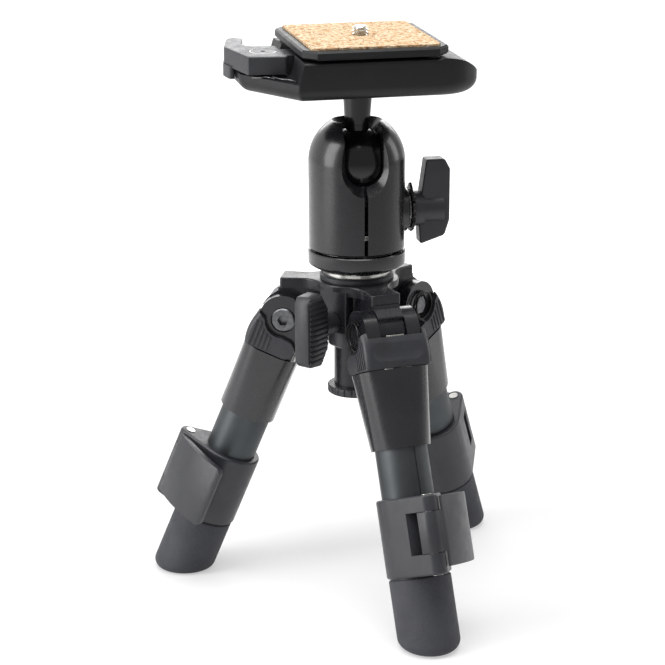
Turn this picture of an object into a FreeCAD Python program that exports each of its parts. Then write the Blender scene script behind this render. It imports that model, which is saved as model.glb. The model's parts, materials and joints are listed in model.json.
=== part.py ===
import FreeCAD, Part
import math
import os

# Mini tripod with a split ball head and a lever plate clamp. Millimetres.
# The origin is on the column axis at floor level, Z is up, and the front leg points along -Y.
# Each leg is drawn hanging straight down from its hinge and is then swung out and turned into place.

V = FreeCAD.Vector

# Whole tripod
LEG_AZIMUTHS = {"front": 0.0, "left": -120.0, "rear": 120.0}   # from -Y towards +X
SPLAY = 22.4                    # leg angle from vertical at the first stop
HINGE_R = 28.3                  # hinge axis from the column axis
HINGE_Z = 113.8                 # hinge axis above the floor
RUN_GAP = 0.05                  # radial clearance of parts that run in each other
SIDE_GAP = 0.3                  # side clearance at hinges and levers

# Spider, the casting that carries the legs
SPIDER_TOP = 130.0
FLANGE_R = 17.0
FLANGE_T = 2.6
HUB_R = 13.4
HUB_BOTTOM = 110.4
ARM_END_R = 30.6                # end of each arm's top plate
ARM_PLATE_T = 4.2
ARM_ROUND = 0.7
NOSE_RISE_R = 31.2              # short rise under the plate
NOSE_RISE_Z = 124.6
NOSE_TIP_R = 35.1               # sloped nose over the hinge barrel
NOSE_TIP_Z = 122.0
NOSE_HEEL_R = 34.0
NOSE_HEEL_Z = 120.3
ARM_TOP_W = 12.4
KNUCKLE_W = 10.8
KNUCKLE_R = 8.6
BOSS_W = 14.0                   # flat boss that carries the column knob
BOSS_R = 15.8

# Column
COLUMN_R = 9.1
COLUMN_WALL = 1.6
COLUMN_BOTTOM = 85.2
COLLAR_R = 11.6
COLLAR_BOTTOM = 102.4
DISC_R = 11.8
DISC_T = 3.2
DISC_NOTCHES = 24
COLUMN_CAP_R = 14.9
COLUMN_CAP_T = 2.2
COLUMN_CAP_GAP = 0.1
WASHER_R = 13.6
BASE_WASHER_T = 1.6

# Column knob
KNOB_AZIMUTH = -60.0
KNOB_Z = 114.2
KNOB_IN_R = 22.7
KNOB_OUT_R = 35.5
KNOB_HALF_H = 14.8
KNOB_NECK_HALF_H = 8.2
KNOB_SHOULDER_R = 27.0
KNOB_T = 7.6
KNOB_HUB_R = 4.4
KNOB_SCREW_R = 2.5
RIB_COUNT = 10
RIB_PITCH = 2.3
RIB_DEPTH = 0.5

# Leg yoke and tubes, measured along the leg from the hinge
EAR_R = 10.0
EAR_T = 5.6
EAR_ROOT_HALF = 9.4
SLEEVE_TOP = 15.0
SLEEVE_BOTTOM = 45.5
SLEEVE_R = 11.75
SLEEVE_HALF_W = 14.2
SLEEVE_CORNER_R = 8.5
INNER_TUBE_R = 10.3
INNER_TUBE_WALL = 1.1
INNER_TUBE_TOP = 20.5
INNER_TUBE_END = 92.5
GROOVE_W = 3.0
GROOVE_DEPTH = 0.55

# Hinge bolt
BOLT_R = 3.0
BOLT_HEAD_R = 4.85
BOLT_HEAD_T = 3.1
HEX_FLATS = 4.0
HEX_DEPTH = 2.4
NUT_FLATS = 6.8
NUT_T = 3.4
BOLT_PROUD = 0.8

# Angle tab
TAB_SIDE_GAP = 0.2
TAB_WALL = 2.3
TAB_OUT = 12.0                  # crown of the thumb pad, out from the leg axis
TAB_OUT_TOP = 10.3
TAB_OUT_LOW = 11.2
TAB_CHEEK_TOP = 0.2             # top of the side walls, below the hinge axis
TAB_PAD_IN = 10.15
TAB_PAD_TOP = 2.4
TAB_CORNER_R = 2.4
TAB_ARC_R = 7.1                 # clears the bolt head and the nut
TAB_BOSS_OFFSET = -5.3
TAB_BOSS_R = 3.8
TAB_SEAM = 0.4
DENT_R = 12.0
DENT_DEPTH = 0.8
DENT_HALF_W = 6.2

# Tab spring
SPRING_WIRE_R = 0.4
SPRING_R = 5.7
SPRING_HALF_TURNS = 3
SPRING_PITCH = 1.3
SPRING_TAIL = 3.4
SPRING_TAIL_ANGLE = 218.0       # where the straight end leaves the coil, from outwards

# Leg lock clamp
CLAMP_TOP = 64.6
CLAMP_BOTTOM = 95.2
CLAMP_R = 12.7
PIN_OFFSET = 18.5               # clamp pin from the leg axis, outwards
NOSE_R = 4.0
PIN_R = 1.9
TONGUE_TOP = 71.0
TONGUE_BOTTOM = 86.8
WINDOW_OFFSET = 13.0
TUBE_GAP = 0.2                  # the inner tube slides in the lower one
LOWER_TUBE_WALL = 0.8
LOWER_TUBE_R = INNER_TUBE_R + TUBE_GAP + LOWER_TUBE_WALL
LOWER_TUBE_TOP = 80.0
LOWER_TUBE_END = 111.5

# Lock lever
LEVER_TOP = 65.6
LEVER_BOTTOM = 92.6
LEVER_T = 3.2
LEVER_GAP = 0.6                 # between the lever plate and the clamp's flank
LEVER_FLAT = 4.2                # straight stretch of the plate along the flank
LEVER_CORNER_R = 2.4
TONGUE_TAIL = 3.0
LEVER_ROOT = (21.3, 4.5)
LEVER_BULGE = (14.6, 13.3)
LEVER_END = (-1.0, 24.6)

# Foot
FOOT_WALL = 0.9
FOOT_R = LOWER_TUBE_R + FOOT_WALL
FOOT_SEAM = 0.4
FOOT_ROUND = 3.6

# Ball head
RING_R = 19.5
RING_BOTTOM = SPIDER_TOP + COLUMN_CAP_GAP + COLUMN_CAP_T + BASE_WASHER_T
RING_T = 7.9
RING_TAPER_T = 2.7              # the ring widens over its lowest stretch
BEARING_R = 17.0
BEARING_RISE = 0.8              # the body runs this far above the ring's rim
HEAD_BOTTOM = RING_BOTTOM + RING_T + BEARING_RISE
BODY_R = 19.2
BALL_Z = HEAD_BOTTOM + 34.9      # ball centre
BALL_R = 14.0
DOME_TOP = BALL_Z + 16.5
MOUTH_ANGLE = 31.0
NOTCH_AZIMUTH = -10.9
NOTCH_HALF_W = 7.7
NOTCH_FLARE_HALF_W = 11.3
NOTCH_FLARE_DEPTH = 4.2
SLIT_W = 1.45
SEAT_R = 12.6
SEAT_BOTTOM = BALL_Z - 16.3
SEAT_TOP = BALL_Z - 8.0
CORE_R = 7.8
CORE_BOTTOM = HEAD_BOTTOM + 4.0  # floor under the stud's head
STUD_R = 4.0
STUD_HEAD_R = 7.0
STUD_HEAD_T = 3.4
CROSS_PIN_R = 1.45
CROSS_PIN_LENGTH = 15.0
CROSS_PIN_Z = HEAD_BOTTOM + 5.9
CROSS_PIN_OUT = 12.5

# Head knob
HEAD_KNOB_AZIMUTH = NOTCH_AZIMUTH + 90.0
HEAD_KNOB_Z = HEAD_BOTTOM + 14.6
HEAD_KNOB_HUB_R = 7.1
HEAD_KNOB_IN = 25.6
HEAD_KNOB_OUT = 37.4
HEAD_KNOB_UP = 20.3
HEAD_KNOB_DOWN = 14.2
HEAD_KNOB_T = 7.4
HEAD_SCREW_R = 2.5
HEAD_SCREW_IN = 12.5            # the screw crosses the split and ends this far past the column axis
HEAD_SCREW_OUT = 31.5
HEAD_WASHER_R = 8.4
HEAD_PAD_OUT = 19.6             # flat pad on the head, under the knob's washers
PLAIN_WASHER_T = 0.6
TOOTHED_WASHER_T = 0.8
HEAD_WASHER_TEETH = 18

# Platform, drawn about the ball centre with its own Z along the stem
REST_TILT = 3.3                 # the camera plate nods this much towards the notch
PLATFORM_TURN = 3.6             # platform turned about the stem from the notch
PLATE_X = 1.2                   # middle of the plate from the stem
PLATE_Y = 1.8
CORK_TOP = 50.0                 # top of the cork above the ball centre
CORK_HALF_X = 25.5
CORK_HALF_Y = 25.5
CORK_T = 1.4
CORK_CORNER = 1.6
PLATE_HALF_X = 28.8
PLATE_HALF_Y = 28.2
PLATE_TOP = 49.2
PLATE_T = 3.5
PLATE_CORNER = 5.0
PLATE_BEVEL = 0.7
TENON_HALF_X = 22.5
TENON_HALF_Y = 20.0
TENON_T = 5.4
TENON_GAP = 0.4
FRAME_TOP = 44.8
FRAME_BOTTOM = 29.7
FRAME_LEFT = -48.3
FRAME_RIGHT = 46.3
FRAME_HALF_Y = 27.4
FRAME_NOSE_R = 20.0
FRAME_ROUND = 5.0
FRAME_TOP_ROUND = 1.6
NOSE_SLOPE_X = 22.0             # the top falls away over the last stretch of the nose
NOSE_SLOPE_Z = 8.0
SHELF_BEND_Y = -2.0             # the shelf's front edge runs back from the wall to here
SHELF_TOP = 36.6
WALL_TOP_X = -28.2
WALL_FOOT_X = -30.6
RECESS_FLOOR = 39.6
STEM_R_LOW = 5.0
STEM_R_HIGH = 5.7
STEM_TAIL_R = 3.0
STEM_TAIL = 8.0
STEM_SPIGOT_R = 4.0
STEM_SPIGOT = 5.0
BALL_FLAT = 13.1
STUD_1_4_R = 3.175              # quarter inch camera screw
STUD_NECK_R = 2.5               # neck that keeps the screw in the plate
STUD_OUT = 4.2
SCREW_DISC_R = 8.0
SCREW_DISC_T = 2.6

# Plate lever
QL_TOP = 44.7
QL_BOTTOM = 37.8
QL_OUT = -51.6                  # the lever's outer side
QL_TAB_BOTTOM = 33.4
QL_TAB_OUT = -51.9
QL_TAB_FRONT = 5.0
QL_TAB_BACK = 19.0
QL_PIVOT_X = -38.6
QL_PIVOT_Y = 0.2
QL_PIN_R = 2.0
QL_CAP_R = 5.2
QL_CAP_T = 1.3
QL_SOCKET_FLATS = 1.8
QL_SOCKET_DEPTH = 0.9
QL_NOSE_ROOT_X = -33.0          # the nose grows out of the lever here
QL_NOSE_FRONT = 8.0             # how far the nose reaches to either side of the pivot
QL_NOSE_BACK = 5.0
QL_NOSE_R = -QL_PIVOT_X - TENON_HALF_X - SIDE_GAP   # nose that faces the plate's tenon


def azimuth(degrees):
    a = math.radians(degrees)
    return V(math.sin(a), -math.cos(a), 0)


def cylinder(radius, length, base, axis):
    return Part.makeCylinder(radius, length, base, axis)


def upright(radius, z0, z1, x=0.0, y=0.0):
    return Part.makeCylinder(radius, z1 - z0, V(x, y, z0), V(0, 0, 1))


def block(x0, x1, y0, y1, z0, z1):
    return Part.makeBox(x1 - x0, y1 - y0, z1 - z0, V(x0, y0, z0))


def rounded_face(corners):
    """A flat face in XY from corners (x, y, radius), each corner rounded by its radius."""
    count = len(corners)
    ends = []
    for i, (x, y, r) in enumerate(corners):
        here = V(x, y, 0)
        before = V(corners[i - 1][0], corners[i - 1][1], 0)
        after = V(corners[(i + 1) % count][0], corners[(i + 1) % count][1], 0)
        to_before = (before - here).normalize()
        to_after = (after - here).normalize()
        if r <= 0:
            ends.append((here, None, here))
            continue
        half = math.acos(max(-1.0, min(1.0, to_before.dot(to_after)))) / 2
        reach = r / math.tan(half)
        middle = (to_before + to_after).normalize()
        centre = here + middle * (r / math.sin(half))
        ends.append((here + to_before * reach, centre - middle * r, here + to_after * reach))
    edges = []
    for i in range(count):
        start, mid, stop = ends[i]
        if mid is not None:
            edges.append(Part.Arc(start, mid, stop).toShape())
        following = ends[(i + 1) % count][0]
        if (following - stop).Length > 1e-6:
            edges.append(Part.LineSegment(stop, following).toShape())
    return Part.Face(Part.Wire(edges))


def prism(corners, z0, z1):
    face = rounded_face(corners)
    face.translate(V(0, 0, z0))
    return face.extrude(V(0, 0, z1 - z0))


def side_prism(corners, y0, y1):
    """Corners are (x, z, radius) and the prism runs along Y."""
    solid = prism(corners, -y1, -y0)
    solid.rotate(V(0, 0, 0), V(1, 0, 0), 90)
    return solid


def turned(profile):
    """A solid of revolution about Z from (radius, z) points."""
    points = [V(r, 0, z) for r, z in profile]
    face = Part.Face(Part.makePolygon(points + points[:1]))
    return face.revolve(V(0, 0, 0), V(0, 0, 1), 360)


def edges_at(shape, test):
    return [e for e in shape.Edges if test(e)]


def circle_at(edge, z):
    """True for a round edge that lies at a height, and not for a seam that only ends there."""
    return edge.BoundBox.ZMin > z - 0.01 and edge.BoundBox.XLength > 1


def spun(shape, degrees):
    """Turns a piece drawn along +X so that it points to an azimuth."""
    out = shape.copy()
    out.rotate(V(0, 0, 0), V(0, 0, 1), degrees - 90)
    return out


def regular(sides, across_flats, phase=0.0):
    r = across_flats / 2 / math.cos(math.pi / sides)
    corners = []
    for i in range(sides):
        a = math.radians(phase) + 2 * math.pi * i / sides
        corners.append((r * math.cos(a), r * math.sin(a), 0))
    return corners


def save(name, shape):
    shape.exportStep("parts/" + name + ".step")


# Spider and what is fixed in it

def spider_arm():
    """One arm along +X: a top plate with a waist, and a web that ends in the hinge knuckle."""
    half = ARM_TOP_W / 2
    waist = half - 1.0
    root_half = FLANGE_R * 0.62
    root_r = FLANGE_R * 0.72
    plate = prism([(0, -root_half, 0), (root_r, -root_half, 6), (HUB_R + 6, -waist, 9),
                   (ARM_END_R, -half, 1.2), (ARM_END_R, half, 1.2), (HUB_R + 6, waist, 9),
                   (root_r, root_half, 6), (0, root_half, 0)],
                  SPIDER_TOP - ARM_PLATE_T, SPIDER_TOP)
    plate = plate.makeFillet(ARM_ROUND, edges_at(plate, lambda e: e.BoundBox.ZMin > SPIDER_TOP - 0.01))
    web_half = KNUCKLE_W / 2
    plate_low = SPIDER_TOP - ARM_PLATE_T
    web = side_prism([(0, HUB_BOTTOM, 0), (COLLAR_R + 0.8, HUB_BOTTOM, 0),
                      (HINGE_R - KNUCKLE_R * 0.9, HINGE_Z - KNUCKLE_R * 0.62, 0),
                      (HINGE_R + KNUCKLE_R * 0.6, HINGE_Z, 0), (NOSE_HEEL_R, NOSE_HEEL_Z, 0),
                      (NOSE_TIP_R, NOSE_TIP_Z, 0.5), (NOSE_RISE_R, NOSE_RISE_Z, 0.5),
                      (NOSE_RISE_R, plate_low + 0.2, 0), (ARM_END_R - 1, plate_low + 0.2, 0),
                      (ARM_END_R - 1, SPIDER_TOP - 1, 0), (0, SPIDER_TOP - 1, 0)],
                     -web_half, web_half)
    knuckle = cylinder(KNUCKLE_R, KNUCKLE_W, V(HINGE_R, -web_half, HINGE_Z), V(0, 1, 0))
    bore = cylinder(BOLT_R + 0.02, KNUCKLE_W + 2, V(HINGE_R, -web_half - 1, HINGE_Z), V(0, 1, 0))
    arm = plate.fuse([web, knuckle])
    return arm.cut(bore)


def make_spider():
    body = upright(FLANGE_R, SPIDER_TOP - FLANGE_T, SPIDER_TOP)
    body = body.makeFillet(ARM_ROUND, edges_at(body, lambda e: e.BoundBox.ZMin > SPIDER_TOP - 0.01))
    body = body.fuse(upright(HUB_R, HUB_BOTTOM, SPIDER_TOP - 1))
    body = body.fuse([spun(spider_arm(), a) for a in LEG_AZIMUTHS.values()])
    half = BOSS_W / 2
    boss = prism([(0, -half, 0), (BOSS_R, -half, 1.0), (BOSS_R, half, 1.0), (0, half, 0)],
                 HUB_BOTTOM, SPIDER_TOP - FLANGE_T)
    body = body.fuse(spun(boss, KNOB_AZIMUTH))
    body = body.cut(upright(COLUMN_R + 1.5, HUB_BOTTOM - 1, SPIDER_TOP + 1))
    screw_way = cylinder(KNOB_SCREW_R + RUN_GAP, BOSS_R + 2, V(0, 0, KNOB_Z), azimuth(KNOB_AZIMUTH))
    return body.cut(screw_way).removeSplitter()


def make_column_bush():
    """Plastic bush in the spider hub, with a faceted collar below."""
    bush = upright(COLUMN_R + 1.48, COLLAR_BOTTOM, SPIDER_TOP)
    collar = prism(regular(12, 2 * COLLAR_R), COLLAR_BOTTOM, HUB_BOTTOM - 0.03)
    collar = collar.makeChamfer(0.8, edges_at(collar, lambda e: e.BoundBox.ZMax < COLLAR_BOTTOM + 0.01))
    bush = bush.fuse(collar)
    bush = bush.cut(upright(COLUMN_R + RUN_GAP, COLLAR_BOTTOM - 1, SPIDER_TOP + 1))
    screw_way = cylinder(KNOB_SCREW_R + RUN_GAP, BOSS_R + 2, V(0, 0, KNOB_Z), azimuth(KNOB_AZIMUTH))
    return bush.cut(screw_way).removeSplitter()


def hinge_bolt():
    """Socket bolt and nut along Y, about the hinge axis."""
    outer = KNUCKLE_W / 2 + SIDE_GAP + EAR_T
    head_seat = outer + BOLT_PROUD - BOLT_HEAD_T
    head = cylinder(BOLT_HEAD_R, BOLT_HEAD_T, V(0, head_seat, 0), V(0, 1, 0))
    rim = edges_at(head, lambda e: e.BoundBox.YMin > outer + BOLT_PROUD - 0.01)
    head = head.makeChamfer(0.5, rim)
    socket = prism(regular(6, HEX_FLATS), 0, HEX_DEPTH + 1)
    socket.rotate(V(0, 0, 0), V(1, 0, 0), -90)
    socket.translate(V(0, outer + BOLT_PROUD - HEX_DEPTH, 0))
    shank = cylinder(BOLT_R, head_seat + outer + 0.4, V(0, -outer - 0.4, 0), V(0, 1, 0))
    bolt = head.cut(socket).fuse(shank)
    nut = prism(regular(6, NUT_FLATS), 0, NUT_T)
    nut.rotate(V(0, 0, 0), V(1, 0, 0), 90)
    nut.translate(V(0, -outer - 0.2 + NUT_T, 0))
    nut = nut.cut(cylinder(BOLT_R + 0.02, NUT_T + 2, V(0, -outer - 1, 0), V(0, 1, 0)))
    return [bolt, nut]


def make_hinge_bolts():
    pieces = []
    for a in LEG_AZIMUTHS.values():
        for piece in hinge_bolt():
            piece.translate(V(HINGE_R, 0, HINGE_Z))
            pieces.append(spun(piece, a))
    return Part.makeCompound(pieces)


# Column and head base

def make_column_tube():
    top = SPIDER_TOP + 0.1
    tube = upright(COLUMN_R, COLUMN_BOTTOM, top)
    stud_way = upright(STUD_R + 0.02, top - 6, top + 1)
    return tube.cut([upright(COLUMN_R - COLUMN_WALL, COLUMN_BOTTOM - 1, top - 4), stud_way])


def make_column_disc():
    """Notched end disc that stops the column."""
    low = COLUMN_BOTTOM - DISC_T
    disc = upright(DISC_R, low, COLUMN_BOTTOM)
    disc = disc.makeFillet(0.6, edges_at(disc, lambda e: e.BoundBox.XLength > DISC_R))
    notches = []
    for i in range(DISC_NOTCHES):
        a = 2 * math.pi * i / DISC_NOTCHES
        notches.append(upright(0.8, low - 1, COLUMN_BOTTOM + 1, (DISC_R + 0.3) * math.cos(a),
                               (DISC_R + 0.3) * math.sin(a)))
    disc = disc.cut(Part.makeCompound(notches))
    plug = upright(COLUMN_R - COLUMN_WALL - 0.02, COLUMN_BOTTOM - 0.5, COLUMN_BOTTOM + 6)
    return disc.fuse(plug)


def make_column_cap():
    low = SPIDER_TOP + COLUMN_CAP_GAP
    cap = upright(COLUMN_CAP_R, low, low + COLUMN_CAP_T)
    rim = edges_at(cap, lambda e: e.BoundBox.XLength > COLUMN_CAP_R and e.BoundBox.ZMin > low + 1)
    cap = cap.makeChamfer(0.6, rim)
    return cap.cut(upright(STUD_R + 0.02, low - 1, low + COLUMN_CAP_T + 1))


def make_base_washer():
    low = RING_BOTTOM - BASE_WASHER_T
    washer = upright(WASHER_R, low, RING_BOTTOM)
    return washer.cut(upright(STUD_R + 0.02, low - 1, RING_BOTTOM + 1))


def make_base_ring():
    """Round base of the head, with the bearing face that the body turns on."""
    bore = STUD_R + 0.02
    edge = RING_BOTTOM + RING_TAPER_T
    top = RING_BOTTOM + RING_T
    bearing = HEAD_BOTTOM - RUN_GAP
    return turned([(bore, RING_BOTTOM), (RING_R - 4.6, RING_BOTTOM), (RING_R - 1.4, edge - 1.0),
                   (RING_R, edge), (RING_R, top - 0.4), (RING_R - 0.4, top), (BEARING_R, top),
                   (BEARING_R, bearing), (bore, bearing)])


def make_head_stud():
    """Screw that holds the head on the column and lets the body turn under its head."""
    foot = SPIDER_TOP - 6.0
    stud = upright(STUD_R, foot, CORE_BOTTOM + RUN_GAP)
    head = upright(STUD_HEAD_R, CORE_BOTTOM + RUN_GAP, CORE_BOTTOM + RUN_GAP + STUD_HEAD_T)
    stud = stud.fuse(head)
    socket = prism(regular(6, 5.0), CORE_BOTTOM + STUD_HEAD_T - 2.0, CORE_BOTTOM + STUD_HEAD_T + 1)
    return stud.cut(socket)


# Knobs

def make_column_knob():
    """Wing knob: a flat blade with cross ribs on both faces."""
    half = KNOB_HALF_H
    neck = KNOB_NECK_HALF_H
    blade = side_prism([(KNOB_IN_R, -neck, 1.0), (KNOB_SHOULDER_R, -half, 2.0),
                        (KNOB_OUT_R, -half + 1.2, 3.0), (KNOB_OUT_R, half - 1.2, 3.0),
                        (KNOB_SHOULDER_R, half, 2.0), (KNOB_IN_R, neck, 1.0)],
                       -KNOB_T / 2, KNOB_T / 2)
    rim = edges_at(blade, lambda e: abs(abs(e.CenterOfMass.y) - KNOB_T / 2) < 0.01)
    blade = blade.makeFillet(1.1, rim)
    grooves = []
    for i in range(RIB_COUNT):
        z = (i - (RIB_COUNT - 1) / 2) * RIB_PITCH
        for side in (-1, 1):
            y = side * KNOB_T / 2
            grooves.append(block(KNOB_IN_R + 1.2, KNOB_OUT_R - 2.2, y - RIB_DEPTH, y + RIB_DEPTH,
                                 z - RIB_PITCH * 0.22, z + RIB_PITCH * 0.22))
    blade = blade.cut(Part.makeCompound(grooves))
    hub = cylinder(KNOB_HUB_R, KNOB_IN_R + 1 - BOSS_R - SIDE_GAP, V(BOSS_R + SIDE_GAP, 0, 0), V(1, 0, 0))
    knob = blade.fuse(hub)
    knob = knob.cut(cylinder(KNOB_SCREW_R, 12, V(BOSS_R - 1, 0, 0), V(1, 0, 0)))
    knob.translate(V(0, 0, KNOB_Z))
    return spun(knob, KNOB_AZIMUTH)


def make_column_knob_screw():
    screw = cylinder(KNOB_SCREW_R, BOSS_R + 11 - COLUMN_R - 0.2, V(COLUMN_R + 0.2, 0, KNOB_Z), V(1, 0, 0))
    return spun(screw, KNOB_AZIMUTH)


def make_head_knob():
    """Unequal wing knob of the ball lock."""
    blade = side_prism([(HEAD_KNOB_IN - 0.3, -HEAD_KNOB_DOWN, 0.8),
                        (HEAD_KNOB_OUT - 2.0, -HEAD_KNOB_DOWN + 3.4, 2.0), (HEAD_KNOB_OUT, -4.5, 3.0),
                        (HEAD_KNOB_OUT, HEAD_KNOB_UP - 4.0, 2.0),
                        (HEAD_KNOB_OUT - 2.2, HEAD_KNOB_UP, 1.5), (HEAD_KNOB_IN + 2.0, HEAD_KNOB_UP, 0.8),
                        (HEAD_KNOB_IN, 6.0, 2.0), (HEAD_KNOB_IN - 0.8, -6.0, 2.0)],
                       -HEAD_KNOB_T / 2, HEAD_KNOB_T / 2)
    rim = edges_at(blade, lambda e: abs(abs(e.CenterOfMass.y) - HEAD_KNOB_T / 2) < 0.01)
    blade = blade.makeFillet(0.7, rim)
    hub_in = HEAD_PAD_OUT + PLAIN_WASHER_T + TOOTHED_WASHER_T + 4 * RUN_GAP
    hub = cylinder(HEAD_KNOB_HUB_R, HEAD_KNOB_IN + 1.0 - hub_in, V(hub_in, 0, 0), V(1, 0, 0))
    boss_length = HEAD_KNOB_OUT - 2.5 - HEAD_KNOB_IN
    boss = cylinder(HEAD_KNOB_HUB_R - 1.2, boss_length, V(HEAD_KNOB_IN, 0, 0), V(1, 0, 0))
    knob = blade.fuse([hub, boss])
    knob = knob.cut(cylinder(HEAD_SCREW_R, 12, V(hub_in - 1, 0, 0), V(1, 0, 0)))
    knob.translate(V(0, 0, HEAD_KNOB_Z))
    return spun(knob, HEAD_KNOB_AZIMUTH)


def make_head_knob_washer():
    """Toothed washer with a pointer, and a plain washer behind it, in one group."""
    plain_in = HEAD_PAD_OUT + RUN_GAP
    plain = cylinder(HEAD_WASHER_R - 1.6, PLAIN_WASHER_T, V(plain_in, 0, 0), V(1, 0, 0))
    low = plain_in + PLAIN_WASHER_T + RUN_GAP
    high = low + TOOTHED_WASHER_T
    toothed = cylinder(HEAD_WASHER_R - 0.7, TOOTHED_WASHER_T, V(low, 0, 0), V(1, 0, 0))
    teeth = []
    for i in range(HEAD_WASHER_TEETH):
        tooth = block(low, high, -0.7, 0.7, HEAD_WASHER_R - 1.4, HEAD_WASHER_R)
        tooth.rotate(V(0, 0, 0), V(1, 0, 0), 360 * i / HEAD_WASHER_TEETH)
        teeth.append(tooth)
    pointer = block(low, high, -1.3, 1.3, HEAD_WASHER_R - 3.4, HEAD_WASHER_R + 1.4)
    toothed = toothed.fuse(teeth + [pointer])
    pieces = []
    for piece in (plain, toothed):
        piece = piece.cut(cylinder(HEAD_SCREW_R + 0.02, 4, V(plain_in - 1, 0, 0), V(1, 0, 0)))
        piece.translate(V(0, 0, HEAD_KNOB_Z))
        pieces.append(spun(piece, HEAD_KNOB_AZIMUTH))
    return Part.makeCompound(pieces)


def make_head_knob_screw():
    start = V(-HEAD_SCREW_IN, 0, HEAD_KNOB_Z)
    screw = cylinder(HEAD_SCREW_R, HEAD_SCREW_OUT + HEAD_SCREW_IN, start, V(1, 0, 0))
    return spun(screw, HEAD_KNOB_AZIMUTH)


# Split body of the ball head

def notch_wire(half_w, distance, top):
    """U shaped outline in the plane at a distance along +X, open side up."""
    low = V(distance, 0, BALL_Z - half_w)
    left = V(distance, -half_w, BALL_Z)
    right = V(distance, half_w, BALL_Z)
    left_top = V(distance, -half_w, top)
    right_top = V(distance, half_w, top)
    sides = Part.makePolygon([right, right_top, left_top, left]).Edges
    return Part.Wire([Part.Arc(left, low, right).toShape()] + sides)


def make_head_body():
    dome_r = BODY_R + 0.1
    side = [V(0, 0, HEAD_BOTTOM), V(BODY_R - 0.5, 0, HEAD_BOTTOM), V(BODY_R, 0, HEAD_BOTTOM + 0.5),
            V(dome_r, 0, BALL_Z)]
    rim_r = math.sqrt(dome_r ** 2 - (DOME_TOP - BALL_Z) ** 2)
    turn = math.atan2(DOME_TOP - BALL_Z, rim_r) / 2
    dome = Part.Arc(V(dome_r, 0, BALL_Z), V(dome_r * math.cos(turn), 0, BALL_Z + dome_r * math.sin(turn)),
                    V(rim_r, 0, DOME_TOP)).toShape()
    lines = [Part.LineSegment(side[i], side[i + 1]).toShape() for i in range(3)]
    closing = Part.makePolygon([V(rim_r, 0, DOME_TOP), V(0, 0, DOME_TOP), side[0]]).Edges
    body = Part.Face(Part.Wire(lines + [dome] + closing)).revolve(V(0, 0, 0), V(0, 0, 1), 360)
    knob_pad = cylinder(HEAD_WASHER_R + 0.6, HEAD_PAD_OUT - 12, V(12, 0, HEAD_KNOB_Z), V(1, 0, 0))
    knob_pad = spun(knob_pad, HEAD_KNOB_AZIMUTH)
    body = body.fuse(knob_pad)
    mouth_h = DOME_TOP - BALL_Z + 1
    mouth_r = mouth_h * math.tan(math.radians(MOUTH_ANGLE))
    mouth = Part.makeCone(0.01, mouth_r, mouth_h, V(0, 0, BALL_Z), V(0, 0, 1))
    cavity = Part.makeSphere(BALL_R + 0.15, V(0, 0, BALL_Z))
    seat_room = upright(SEAT_R + 0.03, SEAT_BOTTOM - 0.03, BALL_Z - 2)
    core = upright(CORE_R, CORE_BOTTOM, SEAT_BOTTOM)
    stud_way = upright(STUD_R + RUN_GAP, HEAD_BOTTOM - 1, CORE_BOTTOM + 1)
    top = DOME_TOP + 5
    notch = Part.Face(notch_wire(NOTCH_HALF_W, 0, top)).extrude(V(BODY_R + 5, 0, 0))
    flare_far = BODY_R + 1.5
    spread = (NOTCH_FLARE_HALF_W - NOTCH_HALF_W) / NOTCH_FLARE_DEPTH
    flare = Part.makeLoft([notch_wire(NOTCH_HALF_W, BODY_R - NOTCH_FLARE_DEPTH, top),
                           notch_wire(NOTCH_FLARE_HALF_W + spread * 1.5, flare_far, top)], True, True)
    slit = block(0, BODY_R + 2, -SLIT_W / 2, SLIT_W / 2, HEAD_BOTTOM - 1, BALL_Z)
    pin_half = CROSS_PIN_LENGTH / 2 + 0.5
    pin_way = cylinder(CROSS_PIN_R + 0.02, 2 * pin_half, V(CROSS_PIN_OUT, -pin_half, CROSS_PIN_Z),
                       V(0, 1, 0))
    cuts = [spun(c, NOTCH_AZIMUTH) for c in (notch, flare, slit, pin_way)]
    way_start = V(-HEAD_SCREW_IN - 0.5, 0, HEAD_KNOB_Z)
    way_length = HEAD_SCREW_IN + 0.5 + HEAD_PAD_OUT + 0.4
    knob_way = cylinder(HEAD_SCREW_R + RUN_GAP, way_length, way_start, V(1, 0, 0))
    knob_way = spun(knob_way, HEAD_KNOB_AZIMUTH)
    return body.cut([mouth, cavity, seat_room, core, stud_way, knob_way] + cuts)


def make_ball_seat():
    seat = upright(SEAT_R, SEAT_BOTTOM, SEAT_TOP)
    seat = seat.cut(Part.makeSphere(BALL_R + RUN_GAP, V(0, 0, BALL_Z)))
    return seat.cut(upright(CORE_R - 1, SEAT_BOTTOM - 1, SEAT_TOP + 1))


def make_cross_pin():
    start = V(CROSS_PIN_OUT, -CROSS_PIN_LENGTH / 2, CROSS_PIN_Z)
    pin = cylinder(CROSS_PIN_R, CROSS_PIN_LENGTH, start, V(0, 1, 0))
    return spun(pin, NOTCH_AZIMUTH)


# Pieces above the ball, drawn about the ball centre

def seated_tilt(shape):
    """Nods a piece towards the notch about the ball centre and lifts it to its height."""
    out = shape.copy()
    out.rotate(V(0, 0, 0), azimuth(NOTCH_AZIMUTH + 90), REST_TILT)
    out.translate(V(0, 0, BALL_Z))
    return out


def seated(shape):
    """As above for the platform, which is also turned about the stem."""
    out = shape.copy()
    out.rotate(V(0, 0, 0), V(0, 0, 1), NOTCH_AZIMUTH + PLATFORM_TURN)
    return seated_tilt(out)


def make_ball():
    ball = Part.makeSphere(BALL_R, V(0, 0, 0))
    ball = ball.cut(block(-BALL_R, BALL_R, -BALL_R, BALL_R, BALL_FLAT, BALL_R + 1))
    return seated_tilt(ball.cut(upright(STEM_TAIL_R + RUN_GAP, BALL_FLAT - STEM_TAIL, BALL_FLAT + 1)))


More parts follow.
